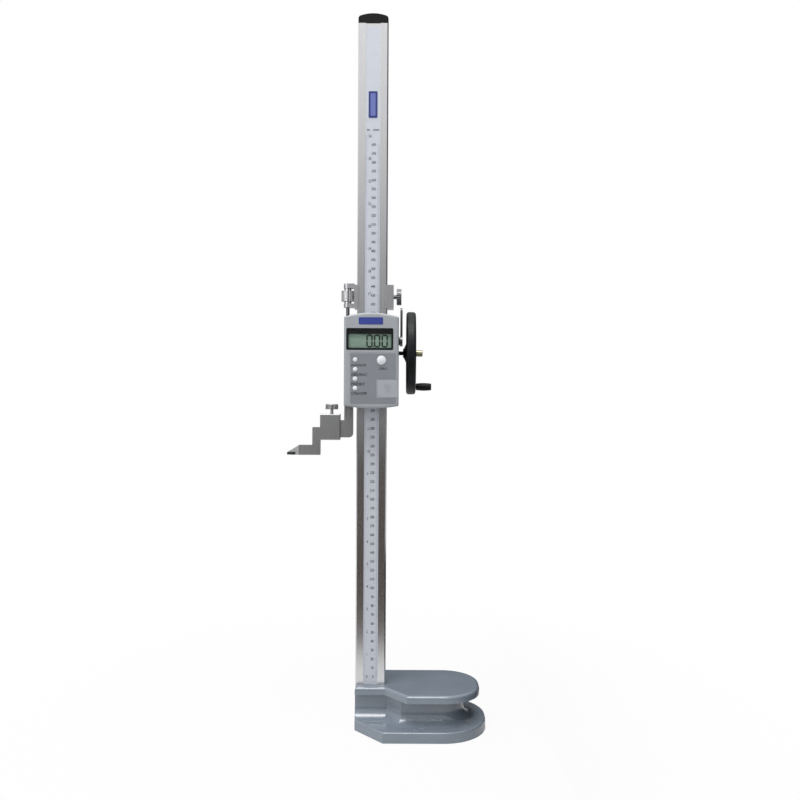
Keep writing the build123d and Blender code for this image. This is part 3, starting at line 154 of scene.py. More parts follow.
def thicken(bm, depth):
    """Gives flat printing or film a small thickness towards the reader, so that it is closed."""
    bmesh.ops.remove_doubles(bm, verts=bm.verts, dist=SAME_PLACE)
    made = bmesh.ops.extrude_face_region(bm, geom=bm.faces[:])["geom"]
    lifted = [g for g in made if isinstance(g, bmesh.types.BMVert)]
    bmesh.ops.translate(bm, vec=READER * depth, verts=lifted)


# ---- Material helpers --------------------------------------------------------------------

def linear(hex_colour):
    """sRGB hex text to linear red, green, blue and alpha."""
    channels = [int(hex_colour[i:i + 2], 16) / 255 for i in (1, 3, 5)]
    return tuple(c / 12.92 if c <= 0.04045 else ((c + 0.055) / 1.055) ** 2.4
                 for c in channels) + (1.0,)


def darker(shade, share):
    """A linear colour scaled down, or up where the share is over 1."""
    return tuple(min(1.0, c * share) for c in tuple(shade)[:3]) + (1.0,)


def add_node(tree, kind, settings=(), links=()):
    """Adds a node; settings are (name, value) on it or its inputs, links are (input, socket)."""
    node = tree.nodes.new(kind)
    for name, value in settings:
        if isinstance(name, str) and hasattr(node, name):
            setattr(node, name, value)
        else:
            node.inputs[name].default_value = value
    for name, socket in links:
        tree.links.new(socket, node.inputs[name])
    return node


def new_material(name, **values):
    """A material with its shader's values set, and its node tree and shader."""
    material = bpy.data.materials.new(name)
    material.use_nodes = True
    shader = material.node_tree.nodes["Principled BSDF"]
    for socket, value in values.items():
        shader.inputs[socket].default_value = value
    return material, material.node_tree, shader


def object_place(tree, scale=(1, 1, 1)):
    """Object coordinates in millimetres, stretched by scale, so patterns have a real size."""
    coordinates = add_node(tree, "ShaderNodeTexCoord")
    stretch = add_node(tree, "ShaderNodeMapping", [("Scale", tuple(s / MM for s in scale))],
                       [("Vector", coordinates.outputs["Object"])])
    return stretch.outputs["Vector"]


def noise(tree, place, size_mm, detail=2.0):
    """Noise whose lumps are about a size in the place's millimetres."""
    return add_node(tree, "ShaderNodeTexNoise", [("Scale", 1 / size_mm), ("Detail", detail)],
                    [("Vector", place)]).outputs["Fac"]


def fade(tree, factor, places, shades):
    """A colour that goes from one shade to another while a factor goes between two places."""
    ramp = add_node(tree, "ShaderNodeValToRGB", links=[("Fac", factor)])
    for stop, place, shade in zip(ramp.color_ramp.elements, places, shades):
        stop.position = place
        stop.color = shade
    return ramp.outputs["Color"]


def tint(tree, shader, factor, dark, light):
    """Lets the shader's colour go between two colours with a noise factor."""
    colour_socket = fade(tree, factor, NOISE_SPAN, (dark, light))
    tree.links.new(colour_socket, shader.inputs["Base Color"])


def polish(tree, shader, factor, smooth, rough):
    """Lets the shader's roughness go between two values with a noise factor."""
    span = add_node(tree, "ShaderNodeMapRange", [("To Min", smooth), ("To Max", rough)],
                    [("Value", factor)])
    tree.links.new(span.outputs["Result"], shader.inputs["Roughness"])


def bump(tree, shader, height, strength, depth_mm):
    """Joins a height pattern to the shader as a bump of a depth in millimetres."""
    node = add_node(tree, "ShaderNodeBump",
                    [("Strength", strength), ("Distance", depth_mm * MM)], [("Height", height)])
    tree.links.new(node.outputs["Normal"], shader.inputs["Normal"])


# ---- Finishes ----------------------------------------------------------------------------

def stove_enamel(shade):
    """Stove enamel sprayed on a filled casting: glossy, with faintly wavy highlights."""
    material, tree, shader = new_material("stove_enamel_sprayed", IOR=1.5,
                                          **{"Coat Weight": 1.0, "Coat Roughness": 0.18})
    place = object_place(tree)
    # The coat's cloudy thickness, some 40 mm across, shifts the shade and the gloss.
    cloud = noise(tree, place, 40, 3.0)
    tint(tree, shader, cloud, darker(shade, 0.92), shade)
    polish(tree, shader, cloud, 0.22, 0.3)
    # Orange peel about 2 mm across makes the highlights' edges waver.
    bump(tree, shader, noise(tree, place, 2), 0.15, 0.2)
    return material


def brushed_metal(name, shade, roughness, grain=(1, 1, 1), metallic=1.0, contrast=0.1,
                  depth_mm=0.01):
    """Metal with fine straight grain, which streaks the highlights along the cut."""
    material, tree, shader = new_material(name, Metallic=metallic)
    # Grain gives the noise's stretch along each axis: small along the cut, large across.
    streak = noise(tree, object_place(tree, grain), 1, 4.0)
    tint(tree, shader, streak, darker(shade, 1 - contrast), shade)
    polish(tree, shader, streak, roughness * 0.85, roughness * 1.2)
    bump(tree, shader, streak, 0.3, depth_mm)
    return material


def moulded_plastic(name, shade, roughness, grain_mm=0.5, depth_mm=0.03, strength=0.25,
                    ior=1.49):
    """Moulded or painted plastic, whose fine spark-eroded grain softens the reflections."""
    material, tree, shader = new_material(name, IOR=ior)
    place = object_place(tree)
    cloud = noise(tree, place, 25, 3.0)
    tint(tree, shader, cloud, darker(shade, 0.94), shade)
    polish(tree, shader, cloud, roughness * 0.9, roughness * 1.15)
    bump(tree, shader, noise(tree, place, grain_mm), strength, depth_mm)
    return material


def printed_ink(name, shade, roughness=0.5):
    """Screen-printed ink: a dense film, slightly uneven where the mesh laid it down."""
    material, tree, shader = new_material(name, IOR=1.5)
    film = noise(tree, object_place(tree), 1.2, 3.0)
    tint(tree, shader, film, shade, darker(shade, 1.2))
    polish(tree, shader, film, roughness * 0.85, roughness * 1.15)
    return material


def clear_pane():
    """Cast acrylic pane: nearly colourless, with a sharp reflection that waves very slightly."""
    material, tree, shader = new_material("cast_acrylic_pane", IOR=1.49, Alpha=0.08)
    place = object_place(tree)
    wave = noise(tree, place, 15)
    tint(tree, shader, wave, linear("#1a201d"), linear("#222825"))
    polish(tree, shader, wave, 0.03, 0.06)
    return material


# ---- Sizes and colours -------------------------------------------------------------------

def colour(name, description, hex_colour):
    """A colour setting whose default is written as sRGB hex."""
    return bpy.props.FloatVectorProperty(name=name, description=description, size=4,
                                         subtype="COLOR", min=0, max=1,
                                         default=linear(hex_colour))


def length(name, description, millimetres):
    """A length setting whose default is written in millimetres."""
    return bpy.props.FloatProperty(name=name, description=description, unit="LENGTH",
                                   subtype="DISTANCE", default=millimetres * MM)


class FinishSettings(bpy.types.PropertyGroup):
    """Colours of the gauge's finishes"""
    enamel: colour("Enamel", "Base casting's stove enamel", "#757f8a")
    beam: colour("Beam", "Beam's satin chrome", "#e6e6e8")
    fitting: colour("Fittings", "Carriage and plates", "#cacacd")
    jaw: colour("Jaw", "Ground steel of the jaw and scriber", "#b0b1b2")
    housing: colour("Housing", "Display housing's silver paint", "#9a9ea3")
    film: colour("Panel film", "Film on the recessed panel", "#7e8288")
    cover: colour("Battery cover", "Battery cover's plastic", "#9fa2a8")
    key: colour("Keys", "Push buttons", "#dcdfe2")
    black: colour("Black", "Handwheel, grip and cap", "#101214")
    brass: colour("Brass", "Turned brass", "#97927a")
    blue: colour("Blue", "Bare blue plates", "#37438c")


class ScaleSettings(bpy.types.PropertyGroup):
    """Sizes and colours of the print on the scale strip"""
    zero_height: length("Zero height", "Height of the scale's zero", 55.7)
    reach: length("Length", "Length of the millimetre scale", 600)
    number_size: length("Number size", "Size of the millimetre numbers", 4.6)
    line_width: length("Line width", "Width of a graduation line", 0.16)
    ink: colour("Ink", "Numbers", "#15172c")
    line_ink: colour("Line ink", "Graduation lines", "#3c4080")
    strip: colour("Strip", "Scale strip", "#bfc3cb")


class DisplaySettings(bpy.types.PropertyGroup):
    """The display's reading, and the colours of the front panel"""
    reading: bpy.props.StringProperty(name="Reading", description="Digits on the display",
                                      default="0.00")
    digit_height: length("Digit height", "Height of a display digit", 12.6)
    glass: colour("Display", "Display where no segment is on", "#8fa898")
    segment: colour("Segments", "Segments that are on", "#26322c")
    ink: colour("Ink", "Words on the front panel", "#101216")


class StageSettings(bpy.types.PropertyGroup):
    """Camera, lamps, cards and room light of the studio"""
    camera_x: length("Camera across", "Camera's place along the base", 32)
    camera_distance: length("Camera distance", "Camera to the beam's axis", 919)
    camera_height: length("Camera height", "Camera above the base's underside", 368)
    focal_length: bpy.props.FloatProperty(
        name="Focal length", description="Lens in millimetres on a 36 mm sensor", default=36.36)
    roll: bpy.props.FloatProperty(name="Roll", description="Camera's turn about its own view",
                                  subtype="ANGLE", default=radians(-0.28))
    lamps: bpy.props.FloatProperty(name="Lamps", default=1.0, min=0,
                                   description="Multiplier on all the soft lamps")
    card: colour("Card", "Dark card that only reflections see", "#4a413a")
    side_card: colour("Side card", "Dark card beside the base's round end", "#16181d")
    room: bpy.props.FloatProperty(name="Room light", default=0.8, min=0,
                                  description="Strength of the even light of the room")


# ---- Operators ---------------------------------------------------------------------------

def give(material, *nodes):
    """Gives a finish to CAD nodes, in place of the plain one they came with."""
    for name in nodes:
        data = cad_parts[name].data
        data.materials.clear()
        data.materials.append(material)


class GAUGE_OT_base(bpy.types.Operator):
    """Finish the base casting"""
    bl_idname = "gauge.base"
    bl_label = "Base"

    def execute(self, context):
        give(stove_enamel(context.scene.gauge_finish.enamel), "base_casting")
        return {"FINISHED"}


class GAUGE_OT_beam(bpy.types.Operator):
    """Finish the beam, its rack, its cap and the small steel parts"""
    bl_idname = "gauge.beam"
    bl_label = "Beam"

    def execute(self, context):
        finish = context.scene.gauge_finish
        # Ground lengthwise and then chromed: a soft mirror that streaks up and down the beam.
        give(brushed_metal("satin_chrome_ground_upright", finish.beam, roughness=0.24,
                           grain=(2.5, 2.5, 0.02), contrast=0.03, depth_mm=0.004), "beam")
        # Machined and oiled: mid-grey, with a dull shine.
        give(brushed_metal("steel_machined_oiled", linear("#77777a"), roughness=0.35), "rack",
             "beam_screws", "gib_screws", "back_plate_screws", "drive_screws",
             "housing_screws", "fine_screw", "shaft_bushes", "crank_pin")
        # Chemical blacking: nearly black, with faint metal highlights.
        give(brushed_metal("steel_blackened", linear("#2a2a2c"), roughness=0.4),
             "pinion_shaft", "lock_screw")
        # A matt mould: black that hardly shines.
        give(moulded_plastic("nylon_moulded_matt", darker(finish.black, 0.5), roughness=0.7,
                             ior=1.3), "top_cap", "housing_back")
        return {"FINISHED"}


def add_graduations(lines, numbers, scale, edge, side, margin, lengths, number_gap, spacing,
                    count, every, per_unit):
    """Adds one scale's lines, long, middling and short, and a number at each long one.

    Side is 1 where the lines start at the strip's left edge, and -1 at its right edge.
    """
    long, middling, short = lengths
    face = low("scale_strip").y
    for step in range(count + 1):
        height = scale.zero_height + step * spacing
        reach = long if step % every == 0 else middling if step % (every // 2) == 0 else short
        add_plate(lines, edge + side * (margin + reach / 2), height, reach, scale.line_width,
                  face, face - PRINT_THICKNESS)
        if step % every == 0:
            add_words(numbers, str(step // per_unit), edge + side * number_gap, face, height,
                      scale.number_size, "LEFT" if side > 0 else "RIGHT", stretch=0.72)


def add_beam_label(blue):
    """A bare navy label near the beam's top, with a paler field on it."""
    height = 701 * MM
    back = low("scale_strip").y
    front = back - 0.3 * MM
    label = bmesh.new()
    add_plate(label, 0, height, 10 * MM, 30 * MM, back, front, 0.8 * MM)
    navy = printed_ink("label_vinyl_navy", darker(blue, 0.6), roughness=0.3)
    new_piece("beam_label", label, navy, "base")
    field = bmesh.new()
    add_plate(field, 0, height, 5.6 * MM, 25 * MM, front, front - 0.04 * MM, 0.6 * MM)
    pale_blue = printed_ink("label_vinyl_pale_blue", linear("#5f69a4"), roughness=0.3)
    new_piece("beam_label_field", field, pale_blue, "base")


class GAUGE_OT_scale(bpy.types.Operator):
    """Print the millimetre and inch scales on the strip, and lay the beam's label on it"""
    bl_idname = "gauge.scale"
    bl_label = "Scale"

    def execute(self, context):
        scale = context.scene.gauge_scale
        # Anodised matt: pale and almost without reflections, so that the print reads well.
        give(brushed_metal("aluminium_anodised_pale", scale.strip, roughness=0.45,
                           grain=(0.05, 1, 0.4), metallic=0.1, contrast=0.04), "scale_strip")
        left, right = low("scale_strip").x, high("scale_strip").x
        face = low("scale_strip").y
        lines, numbers = bmesh.new(), bmesh.new()
        add_graduations(lines, numbers, scale, edge=right, side=-1, margin=0.5 * MM,
                        lengths=(3.4 * MM, 2.6 * MM, 1.8 * MM), number_gap=4.6 * MM,
                        spacing=MM, count=round(scale.reach / MM), every=10, per_unit=1)
        add_graduations(lines, numbers, scale, edge=left, side=1, margin=0.4 * MM,
                        lengths=(2.8 * MM, 2.1 * MM, 1.4 * MM), number_gap=3.4 * MM,
                        spacing=INCH / 20, count=24 * 20, every=20, per_unit=20)
        units_height, units_size = scale.zero_height + scale.reach + 17 * MM, 4.4 * MM
        add_words(numbers, "in", left + 3.0 * MM, face, units_height, units_size)
        add_words(numbers, "mm", right - 4.4 * MM, face, units_height, units_size)
        thicken(numbers, PRINT_THICKNESS)
        line_ink = printed_ink("screen_ink_violet", scale.line_ink)
        number_ink = printed_ink("screen_ink_blue_black", scale.ink)
        new_piece("scale_lines", lines, line_ink, "base")
        new_piece("scale_numbers", numbers, number_ink, "base")
        add_beam_label(context.scene.gauge_finish.blue)
        return {"FINISHED"}


class GAUGE_OT_slider(bpy.types.Operator):
    """Finish the slider frame, its plates, the carriage and the jaw"""
    bl_idname = "gauge.slider"
    bl_label = "Slider and jaw"

    def execute(self, context):
        finish = context.scene.gauge_finish
        # Surface ground: grey, with blurred upright streaks.
        give(brushed_metal("tool_steel_ground", finish.jaw, roughness=0.4,
                           grain=(1.2, 1.2, 0.12)), "slider_frame", "scriber_clamp", "scriber")
        # Plated over a milled face: brighter than the jaw, with streaks from side to side.
        give(brushed_metal("satin_chrome_plated", finish.fitting, roughness=0.32,
                           grain=(0.3, 1.5, 1.5)), "back_plate", "drive_housing", "carriage")
        # Pressed strip, tumbled: a darker satin.
        give(brushed_metal("steel_pressed_satin", linear("#7c7d80"), roughness=0.35,
                           grain=(1, 1, 0.1)), "lock_lever")
        # Ground bronze: brown, with upright streaks.
        give(brushed_metal("gib_bronze_ground", linear("#a5865a"), roughness=0.4,
                           grain=(1, 1, 0.1)), "gib_strip")
        # Sintered and ground: dark, so that the tip stands out from the scriber.
        give(brushed_metal("tungsten_carbide_ground", linear("#4c4c4e"), roughness=0.3),
             "carbide_tip")
        return {"FINISHED"}


def add_hub_flare(material):
    """The hub's hollow-sided flare, which runs out into the wheel's web."""
    axis = middle("handwheel")
    left = low("handwheel").x + 0.3 * MM
    neck, reach, rise, sweep = 4.6 * MM, 5.6 * MM, 14.0 * MM, 1.3
    bore = neck - 0.4 * MM
    steps = 10
    profile = [(left + reach * step / steps, neck + rise * (step / steps) ** sweep)
               for step in range(steps + 1)]
    profile += [(left + reach, bore), (left, bore)]
    bm = bmesh.new()
    ring, edges = closed_loop(bm, [(x, axis.y, axis.z + radius) for x, radius in profile])
    bmesh.ops.spin(bm, geom=ring + edges, cent=axis, axis=(1, 0, 0), angle=2 * pi, steps=64,
                   use_merge=True)
    smooth_shade(new_piece("hub_flare", bm, material, "handwheel"))


class GAUGE_OT_controls(bpy.types.Operator):
    """Finish the handwheel, knobs and fine adjustment"""
    bl_idname = "gauge.controls"
    bl_label = "Wheel and knobs"

    def execute(self, context):
        finish = context.scene.gauge_finish
        # Compression-moulded and polished off: black, with broad, slightly wavy highlights.
        phenolic = moulded_plastic("phenolic_moulded_black", finish.black, roughness=0.45,
                                   grain_mm=3.0, depth_mm=0.02, ior=1.33)
        give(phenolic, "handwheel", "crank_grip")
        add_hub_flare(phenolic)
        # Turned: fine rings round the wheel's axis break the shine into bands.
        give(brushed_metal("brass_turned", finish.brass, roughness=0.25, grain=(2, 0.1, 0.1)),
             "wheel_nut", "battery_contact", "clamp_pad")
        # Bright plating: the knurls sparkle between white and black.
        give(brushed_metal("bright_chrome_knurled", linear("#cacacc"), roughness=0.22,
                           grain=(0.2, 2, 2), contrast=0.04, depth_mm=0.003),
             "fine_nut", "battery", "clamp_screw")
        # Turned without plating: darker and a little duller.
        give(brushed_metal("steel_turned_knurled", linear("#707173"), roughness=0.3,
                           grain=(0.2, 2, 2)), "carriage_screw")
        return {"FINISHED"}


def add_dome(button, material):
    """A low dome on a button's face, which catches a highlight at one side."""
    radius = half_width(button) - 1.5 * MM
    rise = 0.22 * radius
    sphere = (radius ** 2 + rise ** 2) / (2 * rise)
    place = middle(button)
    centre = Vector((place.x, low(button).y + sphere - rise, place.z))
    rings = 8
    angles = [asin(radius / sphere) * ring / rings for ring in range(rings + 1)]
    bm = bmesh.new()
    points = [bm.verts.new(centre + sphere * Vector((sin(angle), -cos(angle), 0)))
              for angle in angles]
    edges = [bm.edges.new(pair) for pair in zip(points, points[1:])]
    bmesh.ops.spin(bm, geom=points + edges, cent=centre, axis=(0, 1, 0), angle=2 * pi, steps=48,
                   use_merge=True)
    bmesh.ops.remove_doubles(bm, verts=bm.verts, dist=SAME_PLACE)
    # A short skirt sinks the dome's rim into the button's face and closes it.
    rim = [edge for edge in bm.edges if edge.is_boundary]
    made = bmesh.ops.extrude_edge_only(bm, edges=rim)["geom"]
    skirt = [g for g in made if isinstance(g, bmesh.types.BMVert)]
    bmesh.ops.translate(bm, vec=READER * -0.1 * MM, verts=skirt)
    bmesh.ops.holes_fill(bm, edges=[edge for edge in bm.edges if edge.is_boundary])
    smooth_shade(new_piece(button + "_dome", bm, material, button))


def arc(x, z, radius, start, end, steps):
    """Points on a circle in a plane that faces the reader, from one angle to another."""
    angles = [radians(start + (end - start) * step / steps) for step in range(steps + 1)]
    return [(x + radius * cos(angle), z + radius * sin(angle)) for angle in angles]


def add_film(shade):
    """Lays the printed film on the recessed panel, cut out for the buttons and the cover."""
    housing_low, housing_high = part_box("display_housing")
    cover_low, cover_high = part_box("battery_cover")
    face = housing_low.y + 0.4 * MM
    left, right = housing_low.x + 7.3 * MM, housing_high.x - 3.0 * MM
    bottom, top = housing_low.z + 2.4 * MM, low("lcd_window").z - 3.4 * MM
    # The cover's box takes in the lips that run in the housing's grooves above and below it.
    gap, lip = 0.4 * MM, 1.0 * MM
    cut_left = cover_low.x - gap
    cut_bottom, cut_top = cover_low.z + lip - gap, cover_high.z - lip + gap
    corner, corner_steps = 1.6 * MM, 6
    outline = (arc(left + corner, bottom + corner, corner, 270, 180, corner_steps)
               + arc(left + corner, top - corner, corner, 180, 90, corner_steps)
               + arc(right - corner, top - corner, corner, 90, 0, corner_steps)
               + [(right, cut_top), (cut_left, cut_top), (cut_left, cut_bottom),
                  (right, cut_bottom)]
               + arc(right - corner, bottom + corner, corner, 0, -90, corner_steps))
    hole_steps = 48
    holes = [arc(middle(button).x, middle(button).z, half_width(button) - 0.6 * MM,
                 0, 360 * (1 - 1 / hole_steps), hole_steps - 1) for button in BUTTONS]
    bm = bmesh.new()
    edges = []
    for loop in (outline, *holes):
        edges += closed_loop(bm, [(x, face, z) for x, z in loop])[1]
    bmesh.ops.triangle_fill(bm, edges=edges, use_beauty=True)
    thicken(bm, 0.1 * MM)
    # Back-printed film: flatter and more even than the painted housing round it.
    film = moulded_plastic("polyester_film_grey", shade, roughness=0.38, grain_mm=0.4,
                           depth_mm=0.004)
    new_piece("panel_film", bm, film, "slider")


class GAUGE_OT_housing(bpy.types.Operator):
    """Finish the display housing, battery cover, buttons and boards"""
    bl_idname = "gauge.housing"
    bl_label = "Display housing"

    def execute(self, context):
        finish = context.scene.gauge_finish
        # Sprayed silver-grey: a fine grain that keeps the highlights soft.
        give(moulded_plastic("abs_painted_silver", finish.housing, roughness=0.36,
                             grain_mm=0.6), "display_housing")
        # Unpainted: slightly duller and lighter than the housing.
        give(moulded_plastic("abs_moulded_grey", finish.cover, roughness=0.4, grain_mm=0.6),
             "battery_cover")
        # Lacquered: smooth enough for one small bright spot on each key.
        pearl = moulded_plastic("abs_lacquered_pearl", finish.key, roughness=0.22, grain_mm=1.5,
                                depth_mm=0.002)
        give(pearl, *BUTTONS)
        for button in BUTTONS:
            add_dome(button, pearl)
        # Solder resist: a thin green varnish.
        give(moulded_plastic("board_resist_green", linear("#1f5a37"), roughness=0.4),
             "circuit_board", "sensor_board")
        # Enamelled plate: glossy and evenly blue.
        give(moulded_plastic("plate_enamelled_blue", finish.blue, roughness=0.25, grain_mm=4.0,
                             depth_mm=0.01), "badge_plate")
        add_film(finish.film)
        return {"FINISHED"}


SEGMENTS_OF = {"0": "abcdef", "1": "bc", "2": "abged", "3": "abgcd", "4": "fgbc", "5": "afgcd",
               "6": "afgedc", "7": "abc", "8": "abcdefg", "9": "abcdfg"}


def add_digit(bm, digit, left, bottom, width, height, thick, face, lift):
    """Seven-segment digit: each segment is a plate with its ends cut to points."""
    half = height / 2
    across = {"a": height, "g": half, "d": 0.0}
    upright = {"f": (0.0, half), "b": (width, half), "e": (0.0, 0.0), "c": (width, 0.0)}
    for segment in SEGMENTS_OF[digit]:
        if segment in across:
            add_plate(bm, left + width / 2, bottom + across[segment], width - thick * 0.2,
                      thick, face, face - lift, thick * 0.45, 1)
        else:
            x, z = upright[segment]
            add_plate(bm, left + x, bottom + z + half / 2, thick, half - thick * 0.2, face,
                      face - lift, thick * 0.45, 1)


def glass_edges():
    """Left, right, bottom and top of the display glass that the window's mask leaves open."""
    module_low, module_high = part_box("lcd_module")
    inset = 0.6 * MM
    return (module_low.x + inset, module_high.x - inset,
            module_low.z + inset, module_high.z - inset)


def add_window():
    """The clear pane, and right behind it the black mask that frames the display."""
    window_low, window_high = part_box("lcd_window")
    left, right = window_low.x + 0.2 * MM, window_high.x - 1.1 * MM
    bottom, top = window_low.z + 1.1 * MM, window_high.z - 1.1 * MM
    front = window_low.y
    mask_front = front + 1.0 * MM
    mask_back = mask_front + 0.3 * MM
    pane = bmesh.new()
    add_plate(pane, (left + right) / 2, (bottom + top) / 2, right - left, top - bottom,
              mask_front, front, 1.4 * MM)
    cover = new_piece("window_pane", pane, clear_pane(), "slider")
    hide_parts("lcd_window")

    glass_left, glass_right, glass_bottom, glass_top = glass_edges()
    mask = bmesh.new()
    for x0, x1, z0, z1 in ((left, right, glass_top, top), (left, right, bottom, glass_bottom),
                           (left, glass_left, glass_bottom, glass_top),
                           (glass_right, right, glass_bottom, glass_top)):
        add_plate(mask, (x0 + x1) / 2, (z0 + z1) / 2, x1 - x0, z1 - z0, mask_back, mask_front)
    black = printed_ink("mask_ink_black", linear("#0b0d0d"), roughness=0.3)
    new_piece("window_mask", mask, black, "slider")


def add_reading(display):
    """The display's digits, set from the right, with a square for the point."""
    glass_right, glass_bottom, glass_top = glass_edges()[1:]
    face = low("lcd_module").y
    lift = 0.05 * MM
    height = display.digit_height
    width, pitch, thick, point = height * 0.43, height * 0.66, 1.8 * MM, 1.2 * MM
    bottom = (glass_bottom + glass_top - height) / 2
    left = glass_right - 4.6 * MM - width
    digits = bmesh.new()
    for character in reversed(display.reading):
        if character == ".":
            add_plate(digits, left + (pitch + width) / 2, bottom, point, point, face,
                      face - lift)
            continue
        add_digit(digits, character, left, bottom, width, height, thick, face, lift)
        left -= pitch
    crystal = printed_ink("liquid_crystal_dark", display.segment, roughness=0.35)
    new_piece("display_digits", digits, crystal, "slider")


class GAUGE_OT_display(bpy.types.Operator):
    """Build the window's pane and printed mask, and the display's digits"""
    bl_idname = "gauge.display"
    bl_label = "Display"

    def execute(self, context):
        display = context.scene.gauge_display
        # A reflective display: grey-green, with a silky sheen under the pane.
        give(moulded_plastic("lcd_reflective_green", display.glass, roughness=0.3, grain_mm=1.5,
                             depth_mm=0.01), "lcd_module")
        add_window()
        add_reading(display)
        return {"FINISHED"}


class GAUGE_OT_labels(bpy.types.Operator):
    """Print the generic words beside the buttons"""
    bl_idname = "gauge.labels"
    bl_label = "Button labels"

    def execute(self, context):
        words = bmesh.new()
        face = low("display_housing").y + 0.3 * MM
        for node, label in (("button_1", "mm/inch"), ("button_2", "ABS/INC"),
                            ("button_3", "PRESET"), ("button_4", "ON/OFF")):
            add_words(words, label, low(node).x - 1.0 * MM, face, low(node).z - 2.4 * MM,
                      4.2 * MM, "LEFT", stretch=1.15)
        add_words(words, "ZERO", middle("zero_button").x + 2 * MM, face,
                  low("zero_button").z - 3.4 * MM, 3.5 * MM)
        thicken(words, 0.03 * MM)
        ink = printed_ink("screen_ink_dark_grey", context.scene.gauge_display.ink)
        new_piece("button_labels", words, ink, "slider")
        return {"FINISHED"}


def paper_view(tree, surface, output, share):
    """Mixes white into what the camera sees of a surface, also through the window's pane."""
    path = add_node(tree, "ShaderNodeLightPath")
    seen = add_node(tree, "ShaderNodeMath", [("operation", "MAXIMUM")],
                    [(0, path.outputs["Is Camera Ray"]),
                     (1, path.outputs["Is Transmission Ray"])])
    whole = add_node(tree, "ShaderNodeMath", [("operation", "MULTIPLY")],
                     [(0, seen.outputs["Value"]), (1, share)])
    of_world = output.bl_idname == "ShaderNodeOutputWorld"
    white = add_node(tree, "ShaderNodeBackground" if of_world else "ShaderNodeEmission",
                     [("Color", (1, 1, 1, 1))])
    mix = add_node(tree, "ShaderNodeMixShader",
                   links=[("Fac", whole.outputs["Value"]), (1, surface),
                          (2, white.outputs[0])])
    tree.links.new(mix.outputs["Shader"], output.inputs["Surface"])


def stage_sheet(name, material, corners):
    """A flat sheet of the studio, which isn't part of the gauge."""
    bm = bmesh.new()
    bm.faces.new([bm.verts.new(corner) for corner in corners])
    mesh = bpy.data.meshes.new(name)
    bm.to_mesh(mesh)
    bm.free()
    sheet = bpy.data.objects.new(name, mesh)
    bpy.context.collection.objects.link(sheet)
    mesh.materials.append(material)
    return sheet


def add_floor():
    """A sheet of white paper, which shows a faint shadow near the gauge and none far off."""
    paper, tree, shader = new_material("backdrop_paper_white", Roughness=0.9,
                                       **{"Base Color": linear("#cccccc")})
    half, near, far, near_share = 8, 0.15, 0.6, 0.93
    coordinates = add_node(tree, "ShaderNodeTexCoord")
    distance = add_node(tree, "ShaderNodeVectorMath", [("operation", "LENGTH")],
                        [(0, coordinates.outputs["Object"])])
    share = add_node(tree, "ShaderNodeMapRange",
                     [("From Min", near), ("From Max", far), ("To Min", near_share),
                      ("To Max", 1.0)], [("Value", distance.outputs["Value"])])
    paper_view(tree, shader.outputs["BSDF"], tree.nodes["Material Output"],
               share.outputs["Result"])
    stage_sheet("floor", paper, ((-half, -half, 0), (half, -half, 0), (half, half, 0),
                                 (-half, half, 0)))


def add_card(name, shade, foot, head, height, lit=False):
    """An evenly lit card between two lines on plan, which the camera and shadows don't see.

    Only reflections see it, or also the soft light that falls on the gauge where it is lit.
    """
    card, tree, _ = new_material("card_matt_" + name)
    emission = add_node(tree, "ShaderNodeEmission", [("Color", shade)])
    tree.links.new(emission.outputs["Emission"], tree.nodes["Material Output"].inputs["Surface"])
    clearance = 0.002
    sheet = stage_sheet(name, card, [(x, y, clearance) for x, y in foot]
                        + [(x, y, height) for x, y in reversed(head)])
    sheet.visible_camera = False
    sheet.visible_diffuse = lit
    sheet.visible_shadow = False
    sheet.visible_transmission = False


def add_room(context, strength):
    """A room that is bright above and to the left front, and dim low down on the right."""
    world = bpy.data.worlds.new("room")
    world.use_nodes = True
    context.scene.world = world
    tree = world.node_tree
    brightest = (-0.25, -0.15, 0.95)
    direction = add_node(tree, "ShaderNodeTexCoord")
    toward = add_node(tree, "ShaderNodeVectorMath",
                      [("operation", "DOT_PRODUCT"), (1, brightest)],
                      [(0, direction.outputs["Generated"])])
    light = fade(tree, toward.outputs["Value"], (0.2, 0.5), (linear("#505359"), (1, 1, 1, 1)))
    background = tree.nodes["Background"]
    background.inputs["Strength"].default_value = strength
    tree.links.new(light, background.inputs["Color"])
    whole = add_node(tree, "ShaderNodeValue")
    whole.outputs["Value"].default_value = 1.0
    paper_view(tree, background.outputs["Background"], tree.nodes["World Output"],
               whole.outputs["Value"])


def add_lamps(context, strength):
    """A soft key from the left front, a fill, one above, and a strip that draws the edges."""
    target = Vector((0.03, 0, 0.3))
    # Each lamp has a name, a place, a width, a height and a power in watts.
    for name, place, width, height, power in (
            ("key", (-1.6, -2.2, 1.3), 1.6, 1.6, 15),
            ("fill", (2.2, -1.6, 1.4), 1.8, 1.8, 3),
            ("top", (0.1, 0.4, 2.8), 1.8, 1.8, 8),
            ("edge_strip", (-0.35, -0.8, 2.4), 1.7, 0.9, 40)):
        lamp = bpy.data.lights.new(name, "AREA")
        lamp.shape = "RECTANGLE"
        lamp.size = width
        lamp.size_y = height
        lamp.energy = power * strength
        holder = bpy.data.objects.new(name, lamp)
        context.collection.objects.link(holder)
        holder.location = place
        aim = target - Vector(place)
        holder.rotation_euler = aim.to_track_quat("-Z", "Y").to_euler()


def add_camera(context, stage):
    """The camera at the photographer's place, very slightly out of level."""
    camera = bpy.data.cameras.new("camera")
    camera.lens = stage.focal_length
    camera.sensor_width = 36.0
    holder = bpy.data.objects.new("camera", camera)
    context.collection.objects.link(holder)
    holder.location = (stage.camera_x, -stage.camera_distance, stage.camera_height)
    holder.rotation_euler = (radians(90), stage.roll, 0)
    context.scene.camera = holder


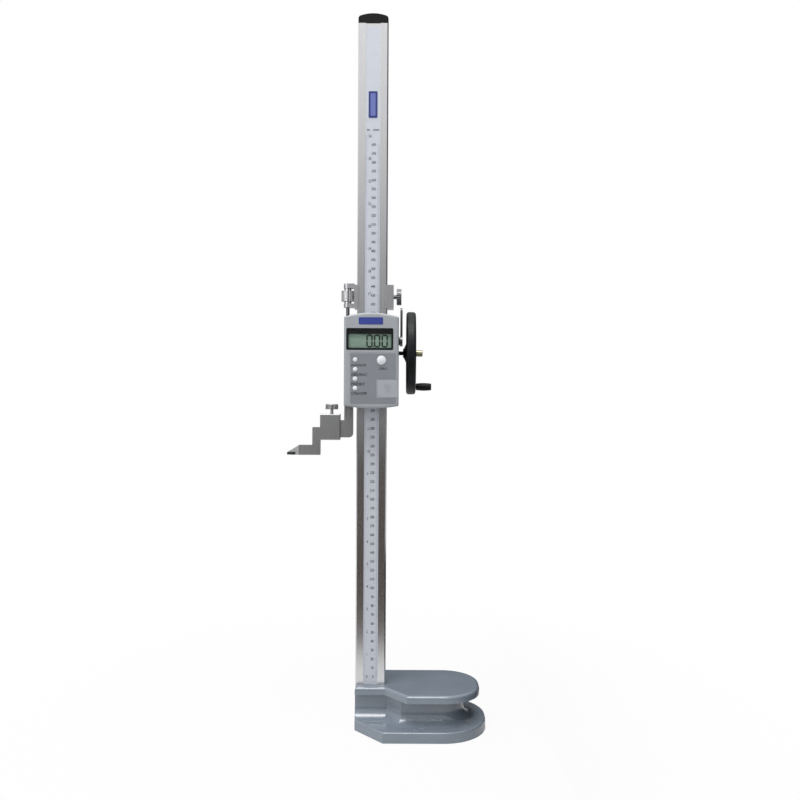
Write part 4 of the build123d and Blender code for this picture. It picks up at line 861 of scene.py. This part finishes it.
class GAUGE_OT_stage(bpy.types.Operator):
    """Set the floor, dark cards, soft lamps, room light and camera"""
    bl_idname = "gauge.stage"
    bl_label = "Stage"

    def execute(self, context):
        stage = context.scene.gauge_stage
        add_floor()
        # Dark cards in the reflections keep the metal and the enamel from going flat.
        add_card("flag", stage.card, ((-0.35, -0.28), (0.3, -0.28)),
                 ((-0.35, -0.95), (0.3, -0.95)), 0.26)
        add_card("side_flag", stage.side_card, ((0.2, -0.3), (0.17, 0.6)),
                 ((0.23, -0.3), (0.2, 0.6)), 0.16, lit=True)
        add_room(context, stage.room)
        add_lamps(context, stage.lamps)
        add_camera(context, stage)
        context.scene.view_settings.view_transform = "Standard"
        return {"FINISHED"}


class GAUGE_PT_panel(bpy.types.Panel):
    """Shows a button for each operator in the sidebar"""
    bl_label = "Height Gauge"
    bl_idname = "GAUGE_PT_panel"
    bl_space_type = "VIEW_3D"
    bl_region_type = "UI"
    bl_category = "Height Gauge"

    def draw(self, context):
        column = self.layout.column()
        for operator in OPERATORS:
            column.operator(operator.bl_idname)


SETTINGS = {"gauge_finish": FinishSettings, "gauge_scale": ScaleSettings,
            "gauge_display": DisplaySettings, "gauge_stage": StageSettings}
OPERATORS = (GAUGE_OT_base, GAUGE_OT_beam, GAUGE_OT_scale, GAUGE_OT_slider, GAUGE_OT_controls,
             GAUGE_OT_housing, GAUGE_OT_display, GAUGE_OT_labels, GAUGE_OT_stage)


def register():
    """Adds the settings, the operators and the panel to Blender."""
    for group in SETTINGS.values():
        bpy.utils.register_class(group)
    for name, group in SETTINGS.items():
        setattr(bpy.types.Scene, name, bpy.props.PointerProperty(type=group))
    for operator in OPERATORS:
        bpy.utils.register_class(operator)
    bpy.utils.register_class(GAUGE_PT_panel)


def unregister():
    """Takes the panel, the operators and the settings away again."""
    bpy.utils.unregister_class(GAUGE_PT_panel)
    for operator in reversed(OPERATORS):
        bpy.utils.unregister_class(operator)
    for name in SETTINGS:
        delattr(bpy.types.Scene, name)
    for group in reversed(list(SETTINGS.values())):
        bpy.utils.unregister_class(group)


def main():
    """Adds the settings, operators and panel to Blender, then runs every operator in order."""
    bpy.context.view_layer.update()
    register()
    for operator in OPERATORS:
        group, name = operator.bl_idname.split(".")
        getattr(getattr(bpy.ops, group), name)()


if __name__ == "__main__":
    main()
